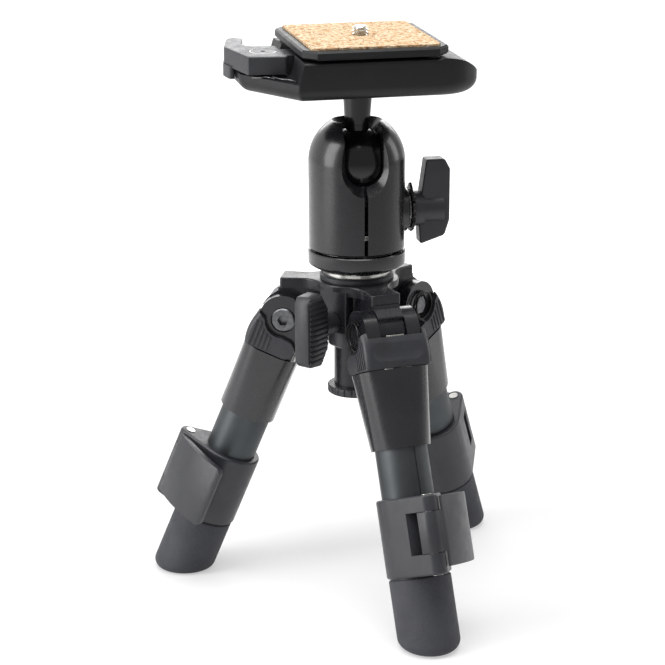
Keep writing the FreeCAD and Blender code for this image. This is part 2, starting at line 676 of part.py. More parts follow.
def make_stem():
    foot = BALL_FLAT + RUN_GAP
    tail = foot - STEM_TAIL + 0.2
    spigot = FRAME_BOTTOM + STEM_SPIGOT
    stem = turned([(0, tail), (STEM_TAIL_R, tail), (STEM_TAIL_R, foot),
                   (STEM_R_LOW - 0.3, foot), (STEM_R_LOW - 0.3, foot + 2.2), (STEM_R_LOW, foot + 2.4),
                   (STEM_R_HIGH, FRAME_BOTTOM - 3), (STEM_R_HIGH, FRAME_BOTTOM),
                   (STEM_SPIGOT_R, FRAME_BOTTOM), (STEM_SPIGOT_R, spigot), (0, spigot)])
    return seated(stem)


def on_plate(shape):
    """As above for pieces drawn about the middle of the plate."""
    out = shape.copy()
    out.translate(V(PLATE_X, PLATE_Y, 0))
    return seated(out)


def plate_outline(half_x, half_y, corner):
    x, y, c = half_x, half_y, corner
    return [(c - x, -y, 0.8), (x - c, -y, 0.8), (x, c - y, 0.8), (x, y - c, 0.8),
            (x - c, y, 0.8), (c - x, y, 0.8), (-x, y - c, 0.8), (-x, c - y, 0.8)]


def lever_outline():
    """Plan of the plate lever, from its front corner by the frame round to its back corner there."""
    return [(-31.3, -11.8, 1.2), (-46.6, -9.8, 1.0), (QL_OUT, 12.5, 8.0), (-47.5, 28.0, 6.0),
            (-44.6, 31.0, 1.2), (-41.0, 27.6, 1.0), (-43.6, 17.0, 6.0), (-42.0, 11.6, 3.0),
            (-31.3, 10.4, 1.5)]


def frame_outline():
    """Plan of the clamp frame: round nose on the right, cut back behind the lever on the left."""
    x0, x1, y, r = FRAME_LEFT, FRAME_RIGHT, FRAME_HALF_Y, FRAME_NOSE_R
    return [(WALL_FOOT_X, -y, 1.5), (x1, -y, r), (x1, y, r), (WALL_FOOT_X - 6, y, 8), (x0, y - 12, 8),
            (x0, SHELF_BEND_Y, 7)]


def make_platform():
    """Clamp frame: a block with a round nose, cut down to a shelf under the lever."""
    frame = prism(frame_outline(), FRAME_BOTTOM, FRAME_TOP)
    low_edges = edges_at(frame, lambda e: e.BoundBox.ZMax < FRAME_BOTTOM + 0.01)
    frame = frame.makeFillet(FRAME_ROUND, low_edges)
    top_edges = edges_at(frame, lambda e: e.BoundBox.ZMin > FRAME_TOP - 0.01 and e.BoundBox.XMax > 0)
    frame = frame.makeFillet(FRAME_TOP_ROUND, top_edges)
    y = FRAME_HALF_Y + 1
    nose_x = FRAME_RIGHT + 2
    slope = side_prism([(FRAME_RIGHT - NOSE_SLOPE_X, FRAME_TOP, 0), (nose_x, FRAME_TOP - NOSE_SLOPE_Z, 0),
                        (nose_x, FRAME_TOP + 2, 0), (FRAME_RIGHT - NOSE_SLOPE_X, FRAME_TOP + 2, 0)], -y, y)
    shelf_x = FRAME_LEFT - 2
    above_shelf = side_prism([(shelf_x, SHELF_TOP, 0), (WALL_FOOT_X, SHELF_TOP, 0),
                              (WALL_TOP_X, FRAME_TOP + 1, 0), (shelf_x, FRAME_TOP + 1, 0)], -y, y)
    half_x = TENON_HALF_X + TENON_GAP
    half_y = TENON_HALF_Y + TENON_GAP
    recess = block(-half_x, half_x, -half_y, half_y, RECESS_FLOOR, FRAME_TOP + 1)
    corner_x, corner_y, _ = lever_outline()[0]
    corner_r = math.hypot(corner_x - QL_PIVOT_X, corner_y - QL_PIVOT_Y)
    sweep = upright(corner_r + 0.5, QL_BOTTOM - 0.5, FRAME_TOP + 1, QL_PIVOT_X, QL_PIVOT_Y)
    nose_sweep = upright(QL_NOSE_R + 0.3, QL_BOTTOM - 0.5, FRAME_TOP + 1, QL_PIVOT_X, QL_PIVOT_Y)
    wall_way = block(WALL_FOOT_X - 3, -TENON_HALF_X + 2, QL_PIVOT_Y - 8.5, QL_PIVOT_Y + 17,
                     0, FRAME_TOP + 1)
    nose_sweep = nose_sweep.common(wall_way)
    spigot_top = FRAME_BOTTOM + STEM_SPIGOT + RUN_GAP
    stem_hole = upright(STEM_SPIGOT_R + 0.02, FRAME_BOTTOM - 1, spigot_top, -PLATE_X, -PLATE_Y)
    pin_hole = upright(QL_PIN_R + 0.02, FRAME_BOTTOM + 2, SHELF_TOP + 1, QL_PIVOT_X, QL_PIVOT_Y)
    return on_plate(frame.cut([slope, above_shelf, recess, sweep, nose_sweep, stem_hole, pin_hole]))


def make_quick_plate():
    low = PLATE_TOP - PLATE_T
    plate = prism(plate_outline(PLATE_HALF_X, PLATE_HALF_Y, PLATE_CORNER), low, PLATE_TOP)
    rim = edges_at(plate, lambda e: e.BoundBox.ZMin > PLATE_TOP - 0.01 or e.BoundBox.ZMax < low + 0.01)
    plate = plate.makeChamfer(PLATE_BEVEL, rim)
    foot = low - TENON_T
    half = TENON_HALF_X
    tenon = side_prism([(-half, foot, 0.4), (half, foot, 0.4), (half - 1.6, low + 0.5, 0),
                        (-half + 1.6, low + 0.5, 0)], -TENON_HALF_Y, TENON_HALF_Y)
    plate = plate.fuse(tenon)
    cork_bed = prism(plate_outline(CORK_HALF_X + 0.02, CORK_HALF_Y + 0.02, CORK_CORNER), CORK_TOP - CORK_T,
                     PLATE_TOP + 1)
    screw_hole = upright(STUD_1_4_R + 0.1, foot - 1, CORK_TOP)
    disc_bed = upright(SCREW_DISC_R + 0.3, foot - 1, foot + SCREW_DISC_T + 0.6)
    return on_plate(plate.cut([cork_bed, screw_hole, disc_bed]))


def make_cork_pad():
    cork = prism(plate_outline(CORK_HALF_X, CORK_HALF_Y, CORK_CORNER), CORK_TOP - CORK_T, CORK_TOP)
    return on_plate(cork.cut(upright(STUD_1_4_R + 0.3, CORK_TOP - 5, CORK_TOP + 1)))


def make_camera_screw():
    foot = PLATE_TOP - PLATE_T - TENON_T
    disc = upright(SCREW_DISC_R, foot + 0.1, foot + 0.1 + SCREW_DISC_T)
    disc = disc.cut(block(-6, 6, -0.7, 0.7, foot, foot + 1.2))
    neck = upright(STUD_NECK_R, foot + 1.4, CORK_TOP + 0.5)
    tip = CORK_TOP + STUD_OUT
    stud = upright(STUD_1_4_R, CORK_TOP, tip)
    stud = stud.makeChamfer(0.6, edges_at(stud, lambda e: circle_at(e, tip)))
    return on_plate(disc.fuse([neck, stud]))


def make_plate_lever():
    """Flat lever with a hook end, a finger tab below and a nose that reaches the plate's tenon."""
    lever = prism(lever_outline(), QL_BOTTOM, QL_TOP)
    rim = edges_at(lever, lambda e: e.BoundBox.ZMin > QL_TOP - 0.01)
    lever = lever.makeFillet(0.6, rim)
    shelf_side = FRAME_LEFT - SIDE_GAP - 0.1
    tab = prism([(QL_TAB_OUT + 1.1, QL_TAB_FRONT, 1.2), (QL_TAB_OUT, 12.5, 4.0),
                 (QL_TAB_OUT + 1.7, QL_TAB_BACK, 0.6), (shelf_side, QL_TAB_BACK, 0.6),
                 (shelf_side, QL_TAB_FRONT, 0.6)], QL_TAB_BOTTOM, QL_BOTTOM + 0.5)
    nose = upright(QL_NOSE_R, RECESS_FLOOR + 1.0, QL_TOP - 0.4, QL_PIVOT_X, QL_PIVOT_Y)
    nose = nose.common(block(QL_NOSE_ROOT_X, QL_PIVOT_X + QL_NOSE_R + 1,
                             QL_PIVOT_Y - QL_NOSE_FRONT, QL_PIVOT_Y + QL_NOSE_BACK, 0, QL_TOP))
    lever = lever.fuse([tab, nose])
    pin_way = upright(QL_PIN_R + RUN_GAP, QL_TAB_BOTTOM, QL_TOP + 1, QL_PIVOT_X, QL_PIVOT_Y)
    cap_room = upright(QL_CAP_R + 0.3, QL_TOP - QL_CAP_T, QL_TOP + 1, QL_PIVOT_X, QL_PIVOT_Y)
    return on_plate(lever.cut([pin_way, cap_room]))


def make_lever_pivot():
    pin = upright(QL_PIN_R, FRAME_BOTTOM + 2.1, QL_TOP - QL_CAP_T + 0.2, QL_PIVOT_X, QL_PIVOT_Y)
    cap = upright(QL_CAP_R, QL_TOP - QL_CAP_T + 0.05, QL_TOP, QL_PIVOT_X, QL_PIVOT_Y)
    socket = prism(regular(6, QL_SOCKET_FLATS), QL_TOP - QL_SOCKET_DEPTH, QL_TOP + 1)
    socket.translate(V(QL_PIVOT_X, QL_PIVOT_Y, 0))
    return on_plate(pin.fuse(cap).cut(socket))


# Leg pieces, drawn with the hinge at the origin, the leg down along -Z and outwards along +X

def placed_leg(shape, leg_azimuth):
    out = shape.copy()
    out.rotate(V(0, 0, 0), V(0, 1, 0), -SPLAY)
    out.translate(V(HINGE_R, 0, HINGE_Z))
    return spun(out, leg_azimuth)


def sleeve_wires():
    """Rounded oblong at the top and circle at the bottom, each with eight edges."""
    r = SLEEVE_CORNER_R
    ax, ay = SLEEVE_R - r, SLEEVE_HALF_W - r
    top, low = [], []
    for sx, sy in ((1, 1), (-1, 1), (-1, -1), (1, -1)):
        start_on_x = sx * sy > 0
        centre = V(sx * ax, sy * ay, -SLEEVE_TOP)
        on_x = centre + V(sx * r, 0, 0)
        on_y = centre + V(0, sy * r, 0)
        middle = centre + V(sx, sy, 0) * (r / math.sqrt(2))
        a, b = (on_x, on_y) if start_on_x else (on_y, on_x)
        top.append((a, middle, b))
        flat_x, flat_y = math.radians(16), math.radians(80)
        circle = [V(sx * SLEEVE_R * math.cos(t), sy * SLEEVE_R * math.sin(t), -SLEEVE_BOTTOM)
                  for t in (flat_x, (flat_x + flat_y) / 2, flat_y)]
        low.append(tuple(circle) if start_on_x else tuple(reversed(circle)))
    wires = []
    for arcs, straight in ((top, True), (low, False)):
        edges = []
        for i in range(4):
            a, middle, b = arcs[i]
            edges.append(Part.Arc(a, middle, b).toShape())
            after = arcs[(i + 1) % 4][0]
            if straight:
                edges.append(Part.LineSegment(b, after).toShape())
            else:
                half = (b + after) * 0.5
                flat = V(half.x, half.y, 0).normalize() * SLEEVE_R
                edges.append(Part.Arc(b, V(flat.x, flat.y, half.z), after).toShape())
        wires.append(Part.Wire(edges))
    return wires


def make_leg_yoke():
    """Top casting of the leg: a sleeve that grows from round to oblong, with two hinge ears."""
    sleeve = Part.makeLoft(sleeve_wires(), True, True)
    inner = KNUCKLE_W / 2 + SIDE_GAP
    outer = inner + EAR_T
    ears = []
    for y0, y1 in ((inner, outer), (-outer, -inner)):
        disc = cylinder(EAR_R, y1 - y0, V(0, y0, 0), V(0, 1, 0))
        root = side_prism([(-EAR_R, 0, 0), (EAR_R, 0, 0), (EAR_ROOT_HALF, -SLEEVE_TOP - 0.5, 0),
                           (-EAR_ROOT_HALF, -SLEEVE_TOP - 0.5, 0)], y0, y1)
        ears.append(disc.fuse(root))
    yoke = sleeve.fuse(ears)
    head_seat = outer + BOLT_PROUD - BOLT_HEAD_T - RUN_GAP
    head_room = cylinder(BOLT_HEAD_R + 0.3, BOLT_HEAD_T, V(0, head_seat, 0), V(0, 1, 0))
    nut_corner = NUT_FLATS / 2 / math.cos(math.pi / 6)
    nut_room = cylinder(nut_corner + 0.3, NUT_T + 0.85, V(0, -outer - 1, 0), V(0, 1, 0))
    bolt_way = cylinder(BOLT_R + RUN_GAP, 2 * outer + 2, V(0, -outer - 1, 0), V(0, 1, 0))
    tube_room = upright(INNER_TUBE_R + 0.02, -SLEEVE_BOTTOM - 1, -INNER_TUBE_TOP + 0.02)
    return yoke.cut([head_room, nut_room, bolt_way, tube_room])


def make_inner_tube():
    tube = upright(INNER_TUBE_R, -INNER_TUBE_END, -INNER_TUBE_TOP)
    tube = tube.cut(upright(INNER_TUBE_R - INNER_TUBE_WALL, -INNER_TUBE_END - 1, -INNER_TUBE_TOP + 1))
    grooves = [block(INNER_TUBE_R - GROOVE_DEPTH, INNER_TUBE_R + 1, -GROOVE_W / 2, GROOVE_W / 2,
                     -INNER_TUBE_END - 1, -INNER_TUBE_TOP + 1),
               block(-INNER_TUBE_R - 1, -INNER_TUBE_R + GROOVE_DEPTH, -GROOVE_W / 2, GROOVE_W / 2,
                     -INNER_TUBE_END - 1, -INNER_TUBE_TOP + 1)]
    return tube.cut(grooves)


def make_angle_tab():
    """Catch that sits over the ears: two side walls round the bolt, a thumb pad and a tooth."""
    inner = KNUCKLE_W / 2 + SIDE_GAP + EAR_T + TAB_SIDE_GAP
    outer = inner + TAB_WALL
    low = -SLEEVE_TOP + TAB_SEAM
    boss_z = low + TAB_BOSS_R
    angles = [math.radians(a) for a in (-108, -63, -18)]
    arc = [V(TAB_ARC_R * math.cos(a), TAB_ARC_R * math.sin(a), 0) for a in angles]
    boss_top = V(TAB_BOSS_OFFSET, boss_z + TAB_BOSS_R, 0)
    boss_low = V(TAB_BOSS_OFFSET, low, 0)
    boss_far = V(TAB_BOSS_OFFSET - TAB_BOSS_R, boss_z, 0)
    brow = V(TAB_OUT_TOP, -TAB_CHEEK_TOP, 0)
    crown = V(TAB_OUT, (low - TAB_CHEEK_TOP) / 2, 0)
    chin = V(TAB_OUT_LOW, low, 0)
    edges = [Part.Arc(boss_low, boss_far, boss_top).toShape(),
             Part.LineSegment(boss_top, arc[0]).toShape(),
             Part.Arc(*arc).toShape(), Part.LineSegment(arc[2], brow).toShape(),
             Part.Arc(brow, crown, chin).toShape(), Part.LineSegment(chin, boss_low).toShape()]
    tab = Part.Face(Part.Wire(edges)).extrude(V(0, 0, 2 * outer))
    tab.rotate(V(0, 0, 0), V(1, 0, 0), 90)
    tab.translate(V(0, outer, 0))
    corners = edges_at(tab, lambda e: e.BoundBox.YLength < 0.01 and e.CenterOfMass.x > TAB_PAD_IN)
    tab = tab.makeFillet(TAB_CORNER_R, corners)
    tab = tab.cut([block(-2 * TAB_OUT, TAB_PAD_IN, -inner, inner, low - 1, TAB_OUT),
                   block(TAB_PAD_IN - 1, TAB_OUT + 1, -inner, inner, -TAB_PAD_TOP, TAB_OUT)])
    middle = (low - TAB_PAD_TOP) / 2
    dent_x = TAB_OUT - DENT_DEPTH + DENT_R
    dent = cylinder(DENT_R, 2 * DENT_HALF_W, V(dent_x, -DENT_HALF_W, middle), V(0, 1, 0))
    dent = dent.fuse([Part.makeSphere(DENT_R, V(dent_x, y, middle)) for y in (-DENT_HALF_W, DENT_HALF_W)])
    tab = tab.cut(dent)
    tooth_half = KNUCKLE_W / 2 - 0.4
    tooth = block(KNUCKLE_R + 0.9, TAB_PAD_IN + 0.4, -tooth_half, tooth_half,
                  -TAB_PAD_TOP - 2.0, -TAB_PAD_TOP)
    return tab.fuse(tooth).removeSplitter()


def make_tab_spring():
    """Coil round the nut in tilted half turns, with one straight end that runs down the tab."""
    outer = KNUCKLE_W / 2 + SIDE_GAP + EAR_T
    rise = SPRING_PITCH / 4
    section = Part.Face(Part.Wire(Part.makeCircle(SPRING_WIRE_R, V(SPRING_R, 0, 0), V(0, 1, 0))))
    half_turn = section.revolve(V(0, 0, rise), V(rise, 0, SPRING_R), 180)
    pieces = []
    for k in range(SPRING_HALF_TURNS):
        piece = half_turn.copy()
        piece.rotate(V(0, 0, 0), V(0, 0, 1), 180 * k)
        piece.translate(V(0, 0, 2 * rise * k))
        pieces.append(piece)
    end_x = SPRING_R * (-1) ** SPRING_HALF_TURNS
    tail_axis = V(0, (-1) ** SPRING_HALF_TURNS, 0)
    tail = cylinder(SPRING_WIRE_R, SPRING_TAIL, V(end_x, 0, 2 * rise * SPRING_HALF_TURNS), tail_axis)
    spring = pieces[0].fuse(pieces[1:] + [tail])
    spring.rotate(V(0, 0, 0), V(0, 0, 1), SPRING_TAIL_ANGLE - 180 * SPRING_HALF_TURNS)
    spring.rotate(V(0, 0, 0), V(1, 0, 0), 90)
    spring.translate(V(0, -outer - SPRING_WIRE_R - 0.1, 0))
    return spring


def teardrop(ring_r, nose_r, nose_n):
    """Outline of two circles joined by their outer tangents, the small one at nose_n on +X."""
    a = math.acos((ring_r - nose_r) / nose_n)
    ring = [V(ring_r * math.cos(a), ring_r * math.sin(a), 0), V(-ring_r, 0, 0),
            V(ring_r * math.cos(a), -ring_r * math.sin(a), 0)]
    nose = [V(nose_n + nose_r * math.cos(a), -nose_r * math.sin(a), 0), V(nose_n + nose_r, 0, 0),
            V(nose_n + nose_r * math.cos(a), nose_r * math.sin(a), 0)]
    return Part.Wire([Part.Arc(*ring).toShape(), Part.LineSegment(ring[2], nose[0]).toShape(),
                      Part.Arc(*nose).toShape(), Part.LineSegment(nose[2], ring[0]).toShape()])


def make_clamp_body():
    """Clamp collar with a pointed nose, split into two knuckles round the lever."""
    face = Part.Face(teardrop(CLAMP_R, NOSE_R, PIN_OFFSET))
    face.translate(V(0, 0, -CLAMP_BOTTOM))
    body = face.extrude(V(0, 0, CLAMP_BOTTOM - CLAMP_TOP))
    rims = edges_at(body, lambda e: e.BoundBox.ZLength < 0.01)
    body = body.makeFillet(0.9, rims)
    window = block(WINDOW_OFFSET, PIN_OFFSET + NOSE_R + 1, -CLAMP_R, CLAMP_R,
                   -TONGUE_BOTTOM - 0.2, -TONGUE_TOP + 0.2)
    tube_way = upright(INNER_TUBE_R + RUN_GAP, -LOWER_TUBE_TOP - 0.02, -CLAMP_TOP + 1)
    tube_room = upright(LOWER_TUBE_R + 0.02, -CLAMP_BOTTOM - 1, -LOWER_TUBE_TOP)
    pin_way = upright(PIN_R + 0.02, -CLAMP_BOTTOM - 1, -CLAMP_TOP + 1, PIN_OFFSET, 0)
    return body.cut([window, tube_way, tube_room, pin_way])


def make_lock_lever():
    """Curved finger plate that lies off the clamp's flank, joined to a cam tongue round the pin."""
    a = math.acos((CLAMP_R - NOSE_R) / PIN_OFFSET)
    flank = V(math.cos(a), math.sin(a), 0)
    along = V(-math.sin(a), math.cos(a), 0)
    root = V(LEVER_ROOT[0], LEVER_ROOT[1], 0)
    bulge = V(LEVER_BULGE[0], LEVER_BULGE[1], 0)
    end = V(LEVER_END[0], LEVER_END[1], 0)
    chord = (end - root).normalize()
    inward = V(-chord.y, chord.x, 0)
    if inward.dot(flank) > 0:
        inward = inward * -1
    start = root + flank * (CLAMP_R + LEVER_GAP - root.dot(flank))
    bend = start + along * LEVER_FLAT
    inner_end = end + inward * (LEVER_T * 0.75) - chord * 0.6
    inner_bulge = bulge + inward * LEVER_T + chord * 2.0
    edges = [Part.Arc(root, bulge, end).toShape(), Part.LineSegment(end, inner_end).toShape(),
             Part.Arc(inner_end, inner_bulge, bend).toShape(), Part.LineSegment(bend, start).toShape(),
             Part.LineSegment(start, root).toShape()]
    plate = Part.Face(Part.Wire(edges))
    plate.translate(V(0, 0, -LEVER_BOTTOM))
    plate = plate.extrude(V(0, 0, LEVER_BOTTOM - LEVER_TOP))
    tip = (end + inner_end) * 0.5
    tip_edges = edges_at(plate, lambda e: e.BoundBox.ZLength < 0.01 and
                         math.hypot(e.CenterOfMass.x - tip.x, e.CenterOfMass.y - tip.y) < 0.1)
    plate = plate.makeFillet(LEVER_CORNER_R, tip_edges)
    nose = V(PIN_OFFSET, 0, 0)
    tail = V(nose.x + NOSE_R * flank.x, -NOSE_R * flank.y, 0)
    tail_end = tail + V(along.x, -along.y, 0) * TONGUE_TAIL
    seat = bend + flank * 0.6
    web = prism([(tail_end.x, tail_end.y, 0.3), (tail.x, tail.y, 0), (nose.x + NOSE_R * 0.98, 0, 0),
                 (root.x, root.y, 0), (seat.x, seat.y, 0), (bend.x - 0.8, bend.y - 2.6, 0),
                 (nose.x - NOSE_R * 0.9, 0, 0), (tail_end.x - 0.7, tail_end.y + 1.6, 0.3)],
                -TONGUE_BOTTOM, -TONGUE_TOP)
    cam = upright(NOSE_R, -TONGUE_BOTTOM, -TONGUE_TOP, PIN_OFFSET, 0)
    lever = plate.fuse([web, cam])
    pin_way = upright(PIN_R + RUN_GAP, -LEVER_BOTTOM - 1, -LEVER_TOP + 1, PIN_OFFSET, 0)
    return lever.cut(pin_way).removeSplitter()


def make_clamp_pin():
    return upright(PIN_R, -CLAMP_BOTTOM - 0.2, -CLAMP_TOP + 0.3, PIN_OFFSET, 0)


def make_lower_tube():
    tube = upright(LOWER_TUBE_R, -LOWER_TUBE_END, -LOWER_TUBE_TOP)
    return tube.cut(upright(LOWER_TUBE_R - LOWER_TUBE_WALL, -LOWER_TUBE_END - 1, -LOWER_TUBE_TOP + 1))


def make_rubber_foot():
    """Rubber cap whose sole lies flat on the floor at the first stop."""
    reach = HINGE_Z / math.cos(math.radians(SPLAY))
    top = CLAMP_BOTTOM + FOOT_SEAM
    foot = upright(FOOT_R, -reach - 15, -top)
    foot = foot.makeChamfer(0.6, edges_at(foot, lambda e: circle_at(e, -top)))
    wide = 5 * FOOT_R
    below = block(-wide, wide, -wide, wide, -wide, 0)
    below.rotate(V(0, 0, 0), V(0, 1, 0), SPLAY)
    below.translate(V(0, 0, -reach))
    foot = foot.cut(below)
    flat = [f for f in foot.Faces if f.Surface.TypeId == "Part::GeomPlane"]
    sole = min(flat, key=lambda f: f.CenterOfMass.z)
    foot = foot.makeFillet(FOOT_ROUND, sole.Edges)
    return foot.cut(upright(LOWER_TUBE_R + 0.02, -LOWER_TUBE_END - 0.02, -top + 1))


def build_legs():
    makers = {"leg_yoke": make_leg_yoke, "inner_tube": make_inner_tube, "angle_tab": make_angle_tab,
              "tab_spring": make_tab_spring, "clamp_body": make_clamp_body, "lock_lever": make_lock_lever,
              "clamp_pin": make_clamp_pin, "lower_tube": make_lower_tube, "rubber_foot": make_rubber_foot}
    for piece, maker in makers.items():
        drawn = maker()
        for leg, leg_azimuth in LEG_AZIMUTHS.items():
            save(piece + "_" + leg, placed_leg(drawn, leg_azimuth))


def build():
    os.makedirs("parts", exist_ok=True)
    makers = {"spider": make_spider, "column_bush": make_column_bush, "hinge_bolts": make_hinge_bolts,
              "column_tube": make_column_tube, "column_end_disc": make_column_disc,
              "column_cap": make_column_cap, "base_washer": make_base_washer,
              "base_ring": make_base_ring, "head_stud": make_head_stud,
              "column_knob": make_column_knob, "column_knob_screw": make_column_knob_screw,
              "head_body": make_head_body, "ball_seat": make_ball_seat, "cross_pin": make_cross_pin,
              "head_knob": make_head_knob, "head_knob_washers": make_head_knob_washer,
              "head_knob_screw": make_head_knob_screw, "ball": make_ball, "stem": make_stem,
              "platform": make_platform, "quick_plate": make_quick_plate, "cork_pad": make_cork_pad,
              "camera_screw": make_camera_screw, "plate_lever": make_plate_lever,
              "lever_pivot": make_lever_pivot}
    for name, maker in makers.items():
        save(name, maker())
    build_legs()


build()
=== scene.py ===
import bmesh
import bpy
import json
import math
from mathutils import Matrix, Vector, noise


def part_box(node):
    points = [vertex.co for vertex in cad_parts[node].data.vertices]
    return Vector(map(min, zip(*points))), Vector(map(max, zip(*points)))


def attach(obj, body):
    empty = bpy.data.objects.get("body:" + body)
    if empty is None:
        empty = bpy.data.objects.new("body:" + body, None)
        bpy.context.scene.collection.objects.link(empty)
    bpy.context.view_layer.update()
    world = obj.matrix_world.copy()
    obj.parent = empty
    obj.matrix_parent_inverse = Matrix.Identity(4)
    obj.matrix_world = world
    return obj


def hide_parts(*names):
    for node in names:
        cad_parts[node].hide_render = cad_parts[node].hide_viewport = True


# Looks of the mini tripod. Metres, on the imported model. The front leg points along -Y.

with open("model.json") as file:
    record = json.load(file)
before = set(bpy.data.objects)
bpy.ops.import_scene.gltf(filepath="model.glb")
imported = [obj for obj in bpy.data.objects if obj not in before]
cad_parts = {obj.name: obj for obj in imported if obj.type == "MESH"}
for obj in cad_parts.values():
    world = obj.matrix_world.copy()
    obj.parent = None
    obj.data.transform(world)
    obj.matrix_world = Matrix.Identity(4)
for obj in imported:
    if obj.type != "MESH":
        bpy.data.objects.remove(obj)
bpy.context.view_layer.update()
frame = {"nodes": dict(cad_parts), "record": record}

MM = 0.001
MERGE = 2e-6                      # corners closer than this are one
LEGS = ("front", "left", "rear")

# Where the model has the things that the dressed pieces sit on
LEG_AZIMUTHS = {"front": 0.0, "left": -120.0, "rear": 120.0}   # from -Y towards +X
SPLAY = 22.4                      # how far each leg leans outwards at rest
HINGE_R = 28.3 * MM
HINGE_Z = 113.8 * MM
TAB_FLANK = 13.8 * MM             # the tabs' cheeks, from the leg's middle
TAB_BOTTOM = -13.9 * MM           # below the hinge
BALL_Z = 177.5 * MM
REST_TILT = 3.3
NOTCH_AZIMUTH = -10.9
PLATFORM_TURN = 3.6
PLATE_X = 1.2 * MM                # middle of the plate from the stem
PLATE_Y = 1.8 * MM
CORK_TOP = 50.0 * MM              # heights on the clamp are above the ball's centre
SHELF_TOP = 36.6 * MM
LEVER_TOP = 44.7 * MM
LEVER_PIVOT = (-38.6 * MM, 0.2 * MM)
FRAME_H = 15.1 * MM               # height of the clamp frame
HEAD_KNOB_Z = 157.2 * MM
HEAD_PAD_OUT = 19.6 * MM
KNOB_AZIMUTH = -60.0              # the column's wing knob
KNOB_Z = 114.2 * MM

# The clamp frame's nose: where it falls away in the model, and how it is drawn in its place
NOSE_START = 24.3 * MM
NOSE_END = 46.3 * MM
NOSE_SLOPE = 7.3 * MM             # the model's straight fall
NOSE_FALL = 9.0 * MM              # the rounded fall
NOSE_CURVE = 2.4                  # how late the rounded fall sets in
NOSE_PULL = 1.8 * MM              # how far the tip is drawn in
NOSE_ROUND = 1.9 * MM             # the round along the rim
NOSE_RIM = (24.0 * MM, 36.4 * MM)   # the rim lies beyond this and above this
NOSE_CUTS, NOSE_CUT_STEP = 14, 1.5 * MM

# Camera stud: quarter inch thread, 20 turns to the inch
THREAD_PITCH = 1.27 * MM
THREAD_R = 3.175 * MM
THREAD_ROOT_R = 2.35 * MM
THREAD_STEPS = 24                 # steps to a turn
STUD_LEAD = 0.9 * MM              # the taper at its tip
STUD_SHORT = 0.8 * MM             # how far its tip lies below the model's
STUD_SUNK = 0.4 * MM              # how far the thread starts below the cork's face

# Cork
GRANULE = 1.1 * MM
CORK_CELL = 0.9 * MM              # how finely the sheet's skin is divided
CORK_RELIEF = 0.22 * MM

# The photograph's viewpoint, solved from the legs and the column
CAMERA_PLACE = (-0.2796, -0.6815, 0.3218)
CAMERA_LOOK = (math.radians(90 - 16.27), 0, math.radians(-22.16))
CAMERA_LENS, SENSOR_WIDTH = 102.08, 36.0
CAMERA_SHIFT = (-0.0293, -0.0013)

# Soft boxes at the sides, overhead, and low behind for the top faces: place, size, power
LAMPS = {
    "left_softbox": ((-0.76, 0.0, 0.44), (0.4, 0.85), 4.5),
    "right_softbox": ((0.80, -0.05, 0.45), (0.25, 0.7), 1.2),
    "top_softbox": ((-0.1, -0.1, 1.0), (0.7, 0.7), 6.5),
    "back_softbox": ((0.35, 0.85, 0.50), (1.0, 0.35), 3.0),
}
LAMPS_LOOK_AT = (0, 0, 0.13)
DIM_SIDE = (0.42, -0.91, 0.0)     # the unlit side of the studio, in front and to the right
WHITE = (1, 1, 1, 1)


def linear(hex_colour):
    """sRGB hex to a linear RGBA value."""
    out = []
    for i in (0, 2, 4):
        c = int(hex_colour[i:i + 2], 16) / 255
        out.append(c / 12.92 if c <= 0.04045 else ((c + 0.055) / 1.055) ** 2.4)
    return (*out, 1.0)


def add(tree, kind, links=None, stops=(), **settings):
    """A node with its settings, its inputs linked or set by name or number, and a ramp's stops."""
    node = tree.nodes.new(kind)
    for name, value in settings.items():
        setattr(node, name, value)
    for key, value in (links or {}).items():
        socket = node.inputs[key]
        if isinstance(value, bpy.types.NodeSocket):
            tree.links.new(value, socket)
        else:
            socket.default_value = value
    for number, (at, value) in enumerate(stops):
        marks = node.color_ramp.elements
        mark = marks[number] if number < len(marks) else marks.new(at)
        mark.position = at
        mark.color = linear(value) if isinstance(value, str) else (value, value, value, 1.0)
    return node


def start_finish(name, metallic=0.0, ior=1.5, level=0.5, coat=0.0, coat_rough=0.1):
    """A material without a pattern yet: its tree, its shader and the place on the piece."""
    mat = bpy.data.materials.new(name)
    mat.use_nodes = True
    tree = mat.node_tree
    tree.nodes.clear()
    shader = add(tree, "ShaderNodeBsdfPrincipled", {
        "Metallic": metallic, "IOR": ior, "Specular IOR Level": level, "Coat Weight": coat,
        "Coat Roughness": coat_rough})
    add(tree, "ShaderNodeOutputMaterial", {"Surface": shader.outputs["BSDF"]})
    place = add(tree, "ShaderNodeTexCoord").outputs["Object"]
    return mat, tree, shader, place


def skin(name, tones, gloss, patch, grit, depth, **kind):
    """A finish whose tone and gloss wander over patches, under a grit of a real size and depth."""
    mat, tree, shader, place = start_finish(name, **kind)
    wander = add(tree, "ShaderNodeTexNoise", {"Vector": place, "Scale": 1 / patch, "Detail": 3.0})
    tone = add(tree, "ShaderNodeValToRGB", {"Fac": wander.outputs["Fac"]},
               [(0.32, tones[0]), (0.68, tones[1])])
    smear = add(tree, "ShaderNodeTexNoise", {"Vector": place, "Scale": 3 / patch, "Detail": 4.0})
    dull = add(tree, "ShaderNodeValToRGB", {"Fac": smear.outputs["Fac"]},
               [(0.3, gloss[0]), (0.72, gloss[1])])
    grains = add(tree, "ShaderNodeTexNoise", {"Vector": place, "Scale": 1 / grit, "Detail": 2.0})
    relief = add(tree, "ShaderNodeBump", {"Height": grains.outputs["Fac"], "Distance": depth})
    tree.links.new(tone.outputs["Color"], shader.inputs["Base Color"])
    tree.links.new(dull.outputs["Color"], shader.inputs["Roughness"])
    tree.links.new(relief.outputs["Normal"], shader.inputs["Normal"])
    return mat


